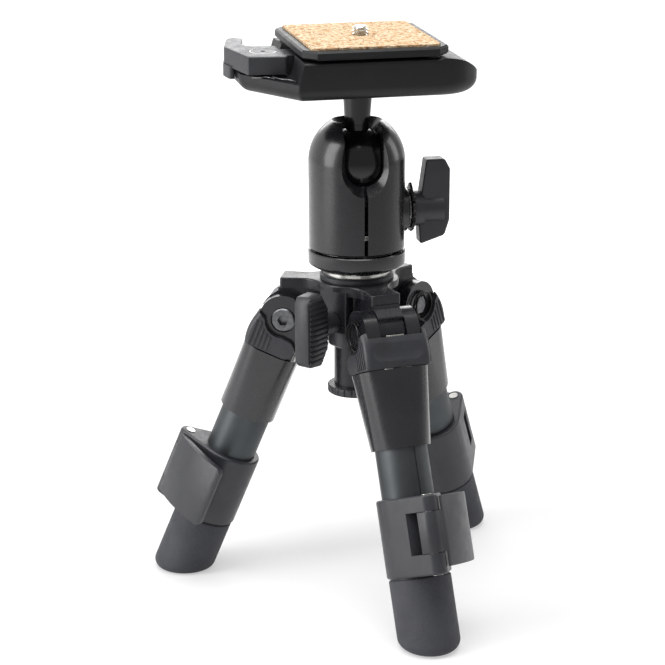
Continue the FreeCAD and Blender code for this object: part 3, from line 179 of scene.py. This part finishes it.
def powder_coated_casting():
    """Powder coat on a die-cast hub: charcoal, half gloss, pebbled.
    The real pebble is about 0.2 mm, too fine to show, so it is drawn at 0.5 mm."""
    return skin("powder_coated_casting", tones=("1c1d20", "27282c"), gloss=(0.24, 0.34),
                patch=9 * MM, grit=0.5 * MM, depth=0.005 * MM, level=0.42)


def enamelled_alloy():
    """Stoved enamel on the turned ball housing: near black and half gloss, a faint orange peel
    about 1 mm from crest to crest, with soft wide highlights."""
    return skin("enamelled_alloy", tones=("111214", "18191c"), gloss=(0.22, 0.32),
                patch=14 * MM, grit=1.0 * MM, depth=0.008 * MM, coat=0.35, coat_rough=0.12)


def satin_grey_sleeve():
    """Satin charcoal paint on the legs' cast sleeves: smoother than the hub, under a thin clear
    coat, with soft bands of light along its sides."""
    return skin("satin_grey_sleeve", tones=("17181b", "1f2024"), gloss=(0.24, 0.32),
                patch=18 * MM, grit=0.6 * MM, depth=0.0015 * MM, coat=0.5, coat_rough=0.15)


def satin_painted_alloy():
    """Satin black paint on machined alloy: deep black where it is square on, pale where light
    grazes it. Its fine tooth is drawn at 0.5 mm so that it shows."""
    return skin("satin_painted_alloy", tones=("0d0e10", "141517"), gloss=(0.38, 0.48),
                patch=12 * MM, grit=0.5 * MM, depth=0.012 * MM, level=0.4)


def black_anodised_ball():
    """Hard black anodised and buffed: a dark mirror with long soft streaks of light."""
    return skin("black_anodised_ball", tones=("0c0d0e", "131416"), gloss=(0.14, 0.22),
                patch=6 * MM, grit=1.5 * MM, depth=0.005 * MM)


def glass_filled_nylon():
    """Glass-filled nylon from a spark-eroded mould: soft black, dry, with a sanded grit.
    The real grit is about 0.15 mm, so it is drawn at 0.5 mm to show."""
    return skin("glass_filled_nylon", tones=("2d2e32", "37383c"), gloss=(0.34, 0.46),
                patch=11 * MM, grit=0.5 * MM, depth=0.06 * MM, ior=1.53)


def moulded_rubber():
    """Moulded rubber: dull charcoal with a dusty bloom and a leathery grain 0.8 mm across."""
    return skin("moulded_rubber", tones=("424348", "4b4c51"), gloss=(0.6, 0.74),
                patch=16 * MM, grit=0.8 * MM, depth=0.22 * MM, level=0.4)


def smoke_anodised_tube():
    """Drawn aluminium tube, anodised smoke grey: a metal that keeps a cool dark tint, with fine
    draw lines seen as a faint unevenness of gloss."""
    return skin("smoke_anodised_tube", tones=("4e5153", "575a5c"), gloss=(0.4, 0.5),
                patch=20 * MM, grit=0.6 * MM, depth=0.006 * MM, metallic=1.0)


def zinc_plated_steel():
    """Zinc-plated steel fastener: grey metal with a cloudy crystalline bloom 1.5 mm across."""
    return skin("zinc_plated_steel", tones=("646567", "808183"), gloss=(0.26, 0.4),
                patch=1.5 * MM, grit=0.5 * MM, depth=0.008 * MM, metallic=1.0)


def bright_nickel():
    """Nickel-plated steel: bright, warm white, nearly mirror, with faint turning marks."""
    return skin("bright_nickel", tones=("c4c3bf", "dddcd7"), gloss=(0.2, 0.32),
                patch=2.5 * MM, grit=0.6 * MM, depth=0.006 * MM, metallic=1.0)


def black_oxide_steel():
    """Blackened spring steel and toothed washers: dark brownish grey metal, oily half gloss."""
    return skin("black_oxide_steel", tones=("2b2a2a", "3b3a39"), gloss=(0.28, 0.42),
                patch=2 * MM, grit=0.5 * MM, depth=0.01 * MM, metallic=1.0)


def agglomerated_cork():
    """Pressed cork: tan granules 1.1 mm across, each its own tone, with dark bark specks and open
    pores between them, darkened in colour as painted shade besides their relief."""
    wave, bend, crumb_size, pore_depth = 1.6 * MM, 0.7 * MM, 0.5 * MM, 0.25 * MM
    mat, tree, shader, place = start_finish("agglomerated_cork", ior=1.45, level=0.3)
    shader.inputs["Roughness"].default_value = 0.88
    bent = add(tree, "ShaderNodeTexNoise", {"Vector": place, "Scale": 1 / wave, "Detail": 2.0})
    shift = add(tree, "ShaderNodeVectorMath", {0: bent.outputs["Color"], "Scale": bend},
                operation="SCALE")
    wavy = add(tree, "ShaderNodeVectorMath", {0: place, 1: shift.outputs[0]})
    granules = add(tree, "ShaderNodeTexVoronoi", {"Vector": wavy.outputs[0], "Scale": 1 / GRANULE})
    pick = add(tree, "ShaderNodeSeparateColor", {"Color": granules.outputs["Color"]})
    tan = add(tree, "ShaderNodeValToRGB", {"Fac": pick.outputs["Red"]},
              [(0.1, "cf9f70"), (0.4, "e7c59c"), (0.75, "f2d9b6"), (0.95, "f6e2c6")])
    rot = add(tree, "ShaderNodeTexNoise", {"Vector": place, "Scale": 1 / crumb_size, "Detail": 4.0})
    crumb = add(tree, "ShaderNodeMath", {0: pick.outputs["Green"], 1: rot.outputs["Fac"]},
                operation="MULTIPLY")
    bark = add(tree, "ShaderNodeValToRGB", {"Fac": crumb.outputs[0]}, [(0.46, 0.0), (0.52, 1.0)])
    speckled = add(tree, "ShaderNodeMix", {
        "Factor": bark.outputs["Color"], "A": tan.outputs["Color"], "B": linear("8a5c38")},
        data_type="RGBA")
    # Painted shade: the colour darkens towards the gaps between the granules, where the open pores
    # lie.
    pores = add(tree, "ShaderNodeValToRGB", {"Fac": granules.outputs["Distance"]},
                [(0.5, 1.0), (0.85, 0.74)])
    tan_with_painted_pore_shade = add(tree, "ShaderNodeMix", {
        "Factor": 1.0, "A": speckled.outputs["Result"], "B": pores.outputs["Color"]},
        data_type="RGBA", blend_type="MULTIPLY")
    relief = add(tree, "ShaderNodeBump", {
        "Height": granules.outputs["Distance"], "Distance": pore_depth}, invert=True)
    tree.links.new(tan_with_painted_pore_shade.outputs["Result"], shader.inputs["Base Color"])
    tree.links.new(relief.outputs["Normal"], shader.inputs["Normal"])
    return mat


FINISHES = {
    "casting": powder_coated_casting(), "head_black": enamelled_alloy(),
    "ball_black": black_anodised_ball(), "moulding": glass_filled_nylon(),
    "plate_black": satin_painted_alloy(), "cork": agglomerated_cork(),
    "bolt_steel": zinc_plated_steel(), "bright_metal": bright_nickel(),
    "anodised": smoke_anodised_tube(), "rubber": moulded_rubber(),
    "washer_dark": black_oxide_steel(),
}
SLEEVE_FINISH = satin_grey_sleeve()

RECORD = frame["record"]
BODY_OF = {node: body for body, nodes in RECORD["behaviour"]["bodies"].items() for node in nodes}
SLOT_OF = {part["node"]: part["material_slot"] for part in RECORD["subparts"]}
MOUNTS = {mount["name"]: mount for mount in RECORD["mounts"]}


def show(name, bm, body, slot, replaces=None, crease=35):
    """Turns a bmesh into a smooth shaded piece that rides on a body and may stand for a node."""
    for face in bm.faces:
        face.smooth = True
    for edge in bm.edges:
        edge.smooth = not edge.is_manifold or edge.calc_face_angle() < math.radians(crease)
    mesh = bpy.data.meshes.new(name)
    bm.to_mesh(mesh)
    bm.free()
    mesh.materials.append(FINISHES[slot])
    piece = bpy.data.objects.new(name, mesh)
    bpy.context.scene.collection.objects.link(piece)
    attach(piece, body)
    if replaces:
        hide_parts(replaces)
    return piece


def merged(node):
    """A copy of a node's mesh as one skin, its flat faces whole."""
    flat = math.radians(0.4)
    bm = bmesh.new()
    bm.from_mesh(frame["nodes"][node].data)
    bmesh.ops.remove_doubles(bm, verts=bm.verts, dist=MERGE)
    bmesh.ops.dissolve_limit(bm, angle_limit=flat, verts=bm.verts, edges=bm.edges)
    return bm


def absorb(bm, other):
    """Adds a second bmesh to the first and frees it."""
    mesh = bpy.data.meshes.new("absorbed")
    other.to_mesh(mesh)
    other.free()
    bm.from_mesh(mesh)
    bpy.data.meshes.remove(mesh)


def rounded(bm, edges, width, segments=2):
    """Rounds edges over by a width."""
    bmesh.ops.bevel(bm, geom=edges, offset=width, offset_type="OFFSET", segments=segments,
                    profile=0.5, affect="EDGES", clamp_overlap=True, material=-1)


def steep_edges(bm, degrees):
    """The edges where two faces meet more sharply than an angle."""
    return [e for e in bm.edges if e.is_manifold and e.calc_face_angle() > math.radians(degrees)]


def soften(bm, width):
    """Breaks the sharp edges, as casting, moulding and deburring do."""
    sharp = steep_edges(bm, 50)
    if sharp and width:
        rounded(bm, sharp, width)


def cut(bm, at, normal, **clear):
    """Cuts the whole bmesh by a plane."""
    return bmesh.ops.bisect_plane(bm, geom=bm.verts[:] + bm.edges[:] + bm.faces[:], plane_co=at,
                                  plane_no=normal, **clear)


def cut_off(bm, at, normal):
    """Cuts away what lies beyond a plane and closes the end."""
    rim = cut(bm, at, normal, clear_outer=True)["geom_cut"]
    bmesh.ops.edgeloop_fill(bm, edges=[e for e in rim if isinstance(e, bmesh.types.BMEdge)])


def thickened(bm, faces, by):
    """Pulls faces out of a flat shape to make it a plate."""
    far = bmesh.ops.extrude_face_region(bm, geom=faces)["geom"]
    bmesh.ops.translate(bm, vec=by, verts=[v for v in far if isinstance(v, bmesh.types.BMVert)])
    bmesh.ops.recalc_face_normals(bm, faces=bm.faces)


def box(bm, low, high, bevel):
    """A block between two corners, with its edges broken."""
    verts = bmesh.ops.create_cube(bm, size=1.0)["verts"]
    bmesh.ops.scale(bm, vec=[b - a for a, b in zip(low, high)], verts=verts)
    bmesh.ops.translate(bm, vec=[(a + b) / 2 for a, b in zip(low, high)], verts=verts)
    rounded(bm, list({e for v in verts for e in v.link_edges}), bevel)


def turned(profile, steps=64):
    """A ring or disc about the X axis from (x, radius) points."""
    bm = bmesh.new()
    verts = [bm.verts.new((x, 0, radius)) for x, radius in profile]
    edges = [bm.edges.new(pair) for pair in zip(verts, verts[1:] + verts[:1])]
    bmesh.ops.spin(bm, geom=verts + edges, cent=(0, 0, 0), axis=(1, 0, 0), angle=math.tau,
                   steps=steps, use_merge=True)
    bmesh.ops.remove_doubles(bm, verts=bm.verts, dist=MERGE)
    bmesh.ops.recalc_face_normals(bm, faces=bm.faces)
    return bm


def moved(bm, place):
    """Puts a whole bmesh in its place."""
    bmesh.ops.transform(bm, matrix=place, verts=bm.verts)


def turn_about(axis, degrees):
    """A turn about an axis through the origin."""
    return Matrix.Rotation(math.radians(degrees), 4, axis)


def plate_frame():
    """Axes of the plate: right, back and up, with zero at the ball centre's height."""
    side = math.radians(NOTCH_AZIMUTH + 90)
    nod = turn_about(Vector((math.sin(side), -math.cos(side), 0)), REST_TILT)
    return (Matrix.Translation((0, 0, BALL_Z)) @ nod @
            turn_about("Z", NOTCH_AZIMUTH + PLATFORM_TURN) @
            Matrix.Translation((PLATE_X, PLATE_Y, 0)))


def outward_frame(azimuth, height):
    """Axes that run outwards, sideways and up at an azimuth and a height."""
    return turn_about("Z", azimuth - 90) @ Matrix.Translation((0, 0, height))


def leg_frame(leg):
    """Axes of a leg at its hinge: outwards, sideways and up the leg."""
    return (turn_about("Z", LEG_AZIMUTHS[leg] - 90) @ Matrix.Translation((HINGE_R, 0, HINGE_Z)) @
            turn_about("Y", -SPLAY))


# How far the edges of each kind of piece are broken. The rest keep the model's own rounds
BROKEN_EDGE = {
    "base_ring": 0.3 * MM, "column_end_disc": 0.2 * MM, "quick_plate": 0.2 * MM,
    "lock_lever": 0.4 * MM,
}
OWN_PIECES = ("cork_pad", "camera_screw", "platform", "column_knob", "head_knob_washers")


def kind_of(node):
    """A node's name without its leg."""
    for leg in LEGS:
        node = node.removesuffix("_" + leg)
    return node


def dress_model():
    """Every piece of the model but those that are made anew, in its own finish."""
    for node, body in BODY_OF.items():
        if node in OWN_PIECES:
            continue
        bm = merged(node)
        soften(bm, BROKEN_EDGE.get(kind_of(node), 0))
        piece = show(node + "_skin", bm, body, SLOT_OF[node], node)
        if kind_of(node) == "leg_yoke":
            piece.data.materials[0] = SLEEVE_FINISH


def platform():
    """The clamp frame with its nose rounded over, drawn in and lower at the tip, as cast."""
    to_plate = plate_frame()
    bm = merged("platform")
    moved(bm, to_plate.inverted())
    rim = [e for e in steep_edges(bm, 25)
           if all(v.co.x > NOSE_RIM[0] and v.co.z > NOSE_RIM[1] for v in e.verts)]
    rounded(bm, rim, NOSE_ROUND, segments=5)
    for step in range(NOSE_CUTS):
        cut(bm, (NOSE_START + step * NOSE_CUT_STEP, 0, 0), (1, 0, 0))
    low = min(v.co.z for v in bm.verts)
    for vert in bm.verts:
        share = max(0.0, (vert.co.x - NOSE_START) / (NOSE_END - NOSE_START))
        vert.co.x -= NOSE_PULL * share ** 2
        straight = FRAME_H - NOSE_SLOPE * share
        fallen = FRAME_H - NOSE_FALL * share ** NOSE_CURVE
        vert.co.z = low + (vert.co.z - low) * fallen / straight
    moved(bm, to_plate)
    show("platform_casting", bm, "platform", "plate_black", "platform", crease=32)


def cork():
    """The pad cut into small cells and rubbed uneven, with granules lost from its rim."""
    face_wear, rim_wear, rim_loss = 0.35, 0.5, 1.6
    bm = merged("cork_pad")
    low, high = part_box("cork_pad")
    up = Vector(MOUNTS["camera_screw"]["axis"]).normalized()
    for axis in (0, 1):
        normal = Vector((axis == 0, axis == 1, 0))
        for step in range(1, int((high[axis] - low[axis]) / CORK_CELL)):
            cut(bm, normal * (low[axis] + step * CORK_CELL), normal)
    bm.normal_update()
    middle = sum((v.co for v in bm.verts), Vector()) / len(bm.verts)
    for vert in bm.verts:
        inward = middle - vert.co
        inward -= up * inward.dot(up)
        rim = vert.normal.dot(up) < 0.9
        lump = 0.5 + 0.5 * noise.noise(vert.co / GRANULE)
        vert.co -= up * (CORK_RELIEF * lump * (rim_wear if rim else face_wear))
        if rim:
            vert.co += inward.normalized() * (CORK_RELIEF * rim_loss * lump)
    bmesh.ops.recalc_face_normals(bm, faces=bm.faces)
    show("cork_sheet", bm, "quick_plate", "cork", "cork_pad", crease=60)


def thread(low, high):
    """A stud along Z with a real thread: its profile spun up a helix and cut off square."""
    bm = bmesh.new()
    start = low - 1.5 * THREAD_PITCH
    turns = math.ceil((high - start) / THREAD_PITCH) + 1
    # One pitch of the thread, as a radius and a share of the pitch: root, crest, root
    profile = [(THREAD_ROOT_R, 0.0), (THREAD_R, 0.38), (THREAD_R, 0.5), (THREAD_ROOT_R, 0.88),
               (THREAD_ROOT_R, 1.0)]
    verts = [bm.verts.new((radius, 0, start + share * THREAD_PITCH)) for radius, share in profile]
    edges = [bm.edges.new(pair) for pair in zip(verts, verts[1:])]
    bmesh.ops.spin(bm, geom=verts + edges, cent=(0, 0, 0), axis=(0, 0, 1),
                   dvec=(0, 0, THREAD_PITCH / THREAD_STEPS), angle=math.tau * turns,
                   steps=THREAD_STEPS * turns)
    bmesh.ops.remove_doubles(bm, verts=bm.verts, dist=MERGE)
    cut_off(bm, (0, 0, low), (0, 0, -1))
    cut_off(bm, (0, 0, high), (0, 0, 1))
    for vert in bm.verts:
        most = THREAD_R - max(0.0, vert.co.z - (high - STUD_LEAD))
        out = Vector((vert.co.x, vert.co.y, 0))
        if out.length > most:
            vert.co -= out.normalized() * (out.length - most)
    bmesh.ops.recalc_face_normals(bm, faces=bm.faces)
    return bm


def camera_screw():
    """The model's screw up to the cork, and a threaded stud above it."""
    to_plate = plate_frame()
    up = to_plate.to_3x3() @ Vector((0, 0, 1))
    head = merged("camera_screw")
    top = max((to_plate.inverted() @ v.co).z for v in head.verts) - STUD_SHORT
    root = CORK_TOP - STUD_SUNK
    cut_off(head, to_plate @ Vector((0, 0, root)), up)
    stud = thread(root, top)
    moved(stud, to_plate)
    absorb(head, stud)
    show("camera_screw_thread", head, "camera_screw", SLOT_OF["camera_screw"], "camera_screw")


def wire(name, points, radius, body, slot):
    """A bent spring wire through points, as a smooth tube."""
    curve = bpy.data.curves.new(name + "_line", "CURVE")
    curve.dimensions = "3D"
    curve.bevel_depth = radius
    curve.bevel_resolution = 3
    curve.use_fill_caps = True
    line = curve.splines.new("NURBS")
    line.points.add(len(points) - 1)
    for point, place in zip(line.points, points):
        point.co = (*place, 1.0)
    line.order_u = 3
    line.use_endpoint_u = True
    holder = bpy.data.objects.new(name + "_line", curve)
    bm = bmesh.new()
    bm.from_mesh(bpy.data.meshes.new_from_object(holder))
    bpy.data.objects.remove(holder)
    show(name, bm, body, slot)


def lever_spring():
    """The lever's torsion spring: both of its ends, bent out over the shelf under the lever."""
    wire_r, lift, apart = 0.25 * MM, 0.45 * MM, 0.3 * MM
    to_plate = plate_frame()
    loop = [(-45.4, -11.4), (-43.2, -12.6), (-40.6, -11.6), (-39.2, -11.9), (-38.2, -13.6),
            (-37.3, -15.6)]
    tail = [(-37.6, -13.2), (-35.6, -17.4), (-34.2, -18.6), (-32.5, -19.6), (-31.4, -21.6),
            (-31.1, -23.6)]
    for number, path in enumerate((loop, tail)):
        height = SHELF_TOP + lift + apart * number
        points = [to_plate @ Vector((x * MM, y * MM, height)) for x, y in path]
        wire("lever_spring_end_%d" % (number + 1), points, wire_r, "platform", "bolt_steel")


def painted_groove_shade():
    """A thin black ring laid on the lever round its pivot, open towards the plate: painted shade
    that stands for a groove.
    """
    inner, outer, sweep, start = 4.75 * MM, 5.35 * MM, 235, 125
    depth, lift = 0.03 * MM, 0.02 * MM
    bm = bmesh.new()
    verts = [bm.verts.new((radius, 0, 0)) for radius in (inner, outer)]
    edge = bm.edges.new(verts)
    bmesh.ops.spin(bm, geom=verts + [edge], cent=(0, 0, 0), axis=(0, 0, 1),
                   angle=math.radians(sweep), steps=48)
    bmesh.ops.solidify(bm, geom=bm.faces[:], thickness=depth)
    bmesh.ops.recalc_face_normals(bm, faces=bm.faces)
    place = Matrix.Translation((*LEVER_PIVOT, LEVER_TOP + lift)) @ turn_about("Z", start)
    moved(bm, plate_frame() @ place)
    # Painted shade: a black ring where the groove round the lever's pivot lies.
    show("painted_groove_shade", bm, "plate_lever", "ball_black")


def knob_washers():
    """Bright dished washer and dark toothed disc with its pointer, between head and knob."""
    place = outward_frame(NOTCH_AZIMUTH + 90, HEAD_KNOB_Z)
    start = HEAD_PAD_OUT + 0.05 * MM
    bore, dish_width, disc_r, disc_width = 7.0 * MM, 1.5 * MM, 8.4 * MM, 1.1 * MM
    dished = turned([(start, bore), (start + 0.1 * MM, 7.6 * MM), (start + 0.4 * MM, 8.0 * MM),
                     (start + 0.8 * MM, 8.2 * MM), (start + 1.2 * MM, 8.0 * MM),
                     (start + dish_width, 7.5 * MM), (start + dish_width, bore)])
    moved(dished, place)
    show("head_knob_bright_washer", dished, "head_knob", "bright_metal", "head_knob_washers")
    teeth, tooth, pointer = 22, 1.09, 1.16
    bm = bmesh.new()
    disc = bmesh.ops.create_circle(bm, cap_ends=True, segments=2 * teeth, radius=disc_r)["verts"]
    for number, vert in enumerate(disc):
        vert.co *= tooth if number % 2 else 1.0
        if number in (10, 11, 12):
            vert.co *= pointer
    thickened(bm, bm.faces[:], (0, 0, disc_width))
    disc_start = start + dish_width + 0.1 * MM
    moved(bm, place @ Matrix.Translation((disc_start, 0, 0)) @ turn_about("Y", 90))
    show("head_knob_toothed_washer", bm, "head_knob", "washer_dark", crease=20)


def column_knob():
    """Wing knob with raised cross ribs on each face of its blade."""
    inner, shoulder, outer = 22.7 * MM, 27.0 * MM, 35.5 * MM
    neck, half, thick = 8.2 * MM, 14.8 * MM, 7.2 * MM
    ribs, pitch, sunk, proud = 13, 2.05 * MM, 0.4 * MM, 0.4 * MM
    hub_start, hub_end, hub_r, screw_r = 16.1 * MM, inner + 1 * MM, 4.4 * MM, 2.5 * MM
    bm = bmesh.new()
    side = [(inner, -neck), (shoulder, -half), (outer - 1.5 * MM, -half + 0.5 * MM),
            (outer, -half + 3 * MM), (outer, half - 3 * MM), (outer - 1.5 * MM, half - 0.5 * MM),
            (shoulder, half), (inner, neck)]
    blade = bm.faces.new([bm.verts.new((x, -thick / 2, z)) for x, z in side])
    thickened(bm, [blade], (0, thick, 0))
    soften(bm, 0.9 * MM)
    for number in range(ribs):
        z = (number - ribs // 2) * pitch
        cut_back = max(0.0, abs(z) + 0.4 * pitch - neck) / (half - neck) * (shoulder - inner)
        for face in (-1, 1):
            y = face * thick / 2
            box(bm, (inner + 0.6 * MM + cut_back, y - sunk, z - 0.3 * pitch),
                (outer - 1.1 * MM, y + proud * face, z + 0.3 * pitch), 0.2 * MM)
    absorb(bm, turned([(hub_start, screw_r), (hub_start, hub_r), (hub_end, hub_r),
                       (hub_end, screw_r)], 40))
    moved(bm, outward_frame(KNOB_AZIMUTH, KNOB_Z))
    show("column_knob_ribbed", bm, "column_knob", "moulding", "column_knob")


def catch_edges():
    """Bright steel catch that shows at the top of each angle tab, between the ears."""
    near, far, half, low, high = 9.7 * MM, 11.0 * MM, 3.7 * MM, -3.0 * MM, -1.9 * MM
    for leg in LEGS:
        bm = bmesh.new()
        box(bm, (near, -half, low), (far, half, high), 0.2 * MM)
        moved(bm, leg_frame(leg))
        show("tab_catch_" + leg, bm, "tab_" + leg, "bright_metal")


def tab_ribs():
    """Finger ribs on both cheeks of each angle tab, cut off round the bolt."""
    ribs, first, pitch, width, proud = 5, 2.0 * MM, 1.85 * MM, 0.95 * MM, 0.4 * MM
    bolt_clear, highest = 8.2 * MM, -3.4 * MM
    for leg in LEGS:
        bm = bmesh.new()
        for number in range(ribs):
            x = first + number * pitch
            top = min(-math.sqrt(max(0.0, bolt_clear ** 2 - x ** 2)), highest)
            for side in (-TAB_FLANK, TAB_FLANK):
                box(bm, (x - width / 2, side - proud, TAB_BOTTOM),
                    (x + width / 2, side + proud, top), 0.28 * MM)
        moved(bm, leg_frame(leg))
        show("tab_ribs_" + leg, bm, "tab_" + leg, "moulding")


def surround():
    """White to the eye and in mirrors on the lit side, darker in mirrors on the unlit side, and
    dim for the light that it casts, so that the lamps give the shape."""
    world = bpy.data.worlds.new("studio")
    bpy.context.scene.world = world
    world.use_nodes = True
    tree = world.node_tree
    tree.nodes.clear()
    path = add(tree, "ShaderNodeLightPath")
    plain = add(tree, "ShaderNodeMath", {
        0: path.outputs["Is Camera Ray"], 1: path.outputs["Is Transmission Ray"]},
        operation="MAXIMUM")
    seen = add(tree, "ShaderNodeMath", {0: plain.outputs[0], 1: path.outputs["Is Glossy Ray"]},
               operation="MAXIMUM")
    place = add(tree, "ShaderNodeTexCoord").outputs["Generated"]
    way = add(tree, "ShaderNodeVectorMath", {0: place, 1: DIM_SIDE}, operation="DOT_PRODUCT")
    dim = add(tree, "ShaderNodeMapRange", {
        "Value": way.outputs["Value"], "From Min": -0.4, "From Max": 0.05, "To Min": 1.0,
        "To Max": 0.38})
    level = add(tree, "ShaderNodeMath", {0: plain.outputs[0], 1: dim.outputs[0]},
                operation="MAXIMUM")
    room = add(tree, "ShaderNodeBackground", {"Color": linear("f4f5f7"), "Strength": 0.3})
    white = add(tree, "ShaderNodeBackground", {"Color": WHITE, "Strength": level.outputs[0]})
    mix = add(tree, "ShaderNodeMixShader", {
        0: seen.outputs[0], 1: room.outputs[0], 2: white.outputs[0]})
    add(tree, "ShaderNodeOutputWorld", {"Surface": mix.outputs[0]})


def floor_paint():
    """Matt grey paint that glows white to the eye away from the feet, so that the floor keeps the
    tripod's shadow, and that shows dimmer in mirrors on the unlit side."""
    mat, tree, shader, place = start_finish("matt_floor_paint", level=0.2)
    shader.inputs["Base Color"].default_value = linear("c9c9c9")
    shader.inputs["Roughness"].default_value = 0.9
    shader.inputs["Emission Color"].default_value = WHITE
    away = add(tree, "ShaderNodeVectorMath", {0: place}, operation="LENGTH")
    glow = add(tree, "ShaderNodeMapRange", {
        "Value": away.outputs["Value"], "From Min": 0.15, "From Max": 0.6, "To Min": 0.45,
        "To Max": 1.0})
    near = add(tree, "ShaderNodeMapRange", {
        "Value": away.outputs["Value"], "From Min": 0.15, "From Max": 0.45, "To Min": 1.0,
        "To Max": 0.1})
    way = add(tree, "ShaderNodeVectorMath", {0: place, 1: DIM_SIDE}, operation="DOT_PRODUCT")
    dim = add(tree, "ShaderNodeMapRange", {
        "Value": way.outputs["Value"], "From Min": -0.3, "From Max": -0.05, "To Min": 0.7,
        "To Max": 0.15})
    bright = add(tree, "ShaderNodeMath", {0: dim.outputs[0], 1: near.outputs[0]},
                 operation="MAXIMUM")
    path = add(tree, "ShaderNodeLightPath")
    glossy = add(tree, "ShaderNodeMath", {
        0: path.outputs["Is Glossy Ray"], 1: bright.outputs[0]}, operation="MULTIPLY")
    plain = add(tree, "ShaderNodeMath", {
        0: path.outputs["Is Camera Ray"], 1: path.outputs["Is Transmission Ray"]},
        operation="MAXIMUM")
    seen = add(tree, "ShaderNodeMath", {0: plain.outputs[0], 1: glossy.outputs[0]},
               operation="MAXIMUM")
    share = add(tree, "ShaderNodeMath", {0: seen.outputs[0], 1: glow.outputs[0]},
                operation="MULTIPLY")
    tree.links.new(share.outputs[0], shader.inputs["Emission Strength"])
    return mat


def floor():
    """A pale floor under the feet."""
    bm = bmesh.new()
    bmesh.ops.create_grid(bm, x_segments=1, y_segments=1, size=3.0)
    mesh = bpy.data.meshes.new("floor")
    bm.to_mesh(mesh)
    bm.free()
    mesh.materials.append(floor_paint())
    ground = bpy.data.objects.new("floor", mesh)
    bpy.context.scene.collection.objects.link(ground)


def lamps():
    """The soft boxes, all turned to the middle of the tripod."""
    for name, (place, size, power) in LAMPS.items():
        data = bpy.data.lights.new(name, "AREA")
        data.shape = "RECTANGLE"
        data.size, data.size_y = size
        data.energy = power
        light = bpy.data.objects.new(name, data)
        bpy.context.scene.collection.objects.link(light)
        light.location = place
        look = Vector(LAMPS_LOOK_AT) - light.location
        light.rotation_euler = look.to_track_quat("-Z", "Y").to_euler()
        light.visible_camera = False


def camera():
    """The photograph's viewpoint."""
    data = bpy.data.cameras.new("view")
    data.lens = CAMERA_LENS
    data.sensor_width = SENSOR_WIDTH
    data.shift_x, data.shift_y = CAMERA_SHIFT
    data.clip_start = 0.01
    view = bpy.data.objects.new("view", data)
    bpy.context.scene.collection.objects.link(view)
    view.location = CAMERA_PLACE
    view.rotation_euler = CAMERA_LOOK
    bpy.context.scene.camera = view


dress_model()
platform()
cork()
camera_screw()
lever_spring()
painted_groove_shade()
knob_washers()
column_knob()
catch_edges()
tab_ribs()
surround()
floor()
lamps()
camera()
bpy.context.scene.view_settings.view_transform = "Standard"
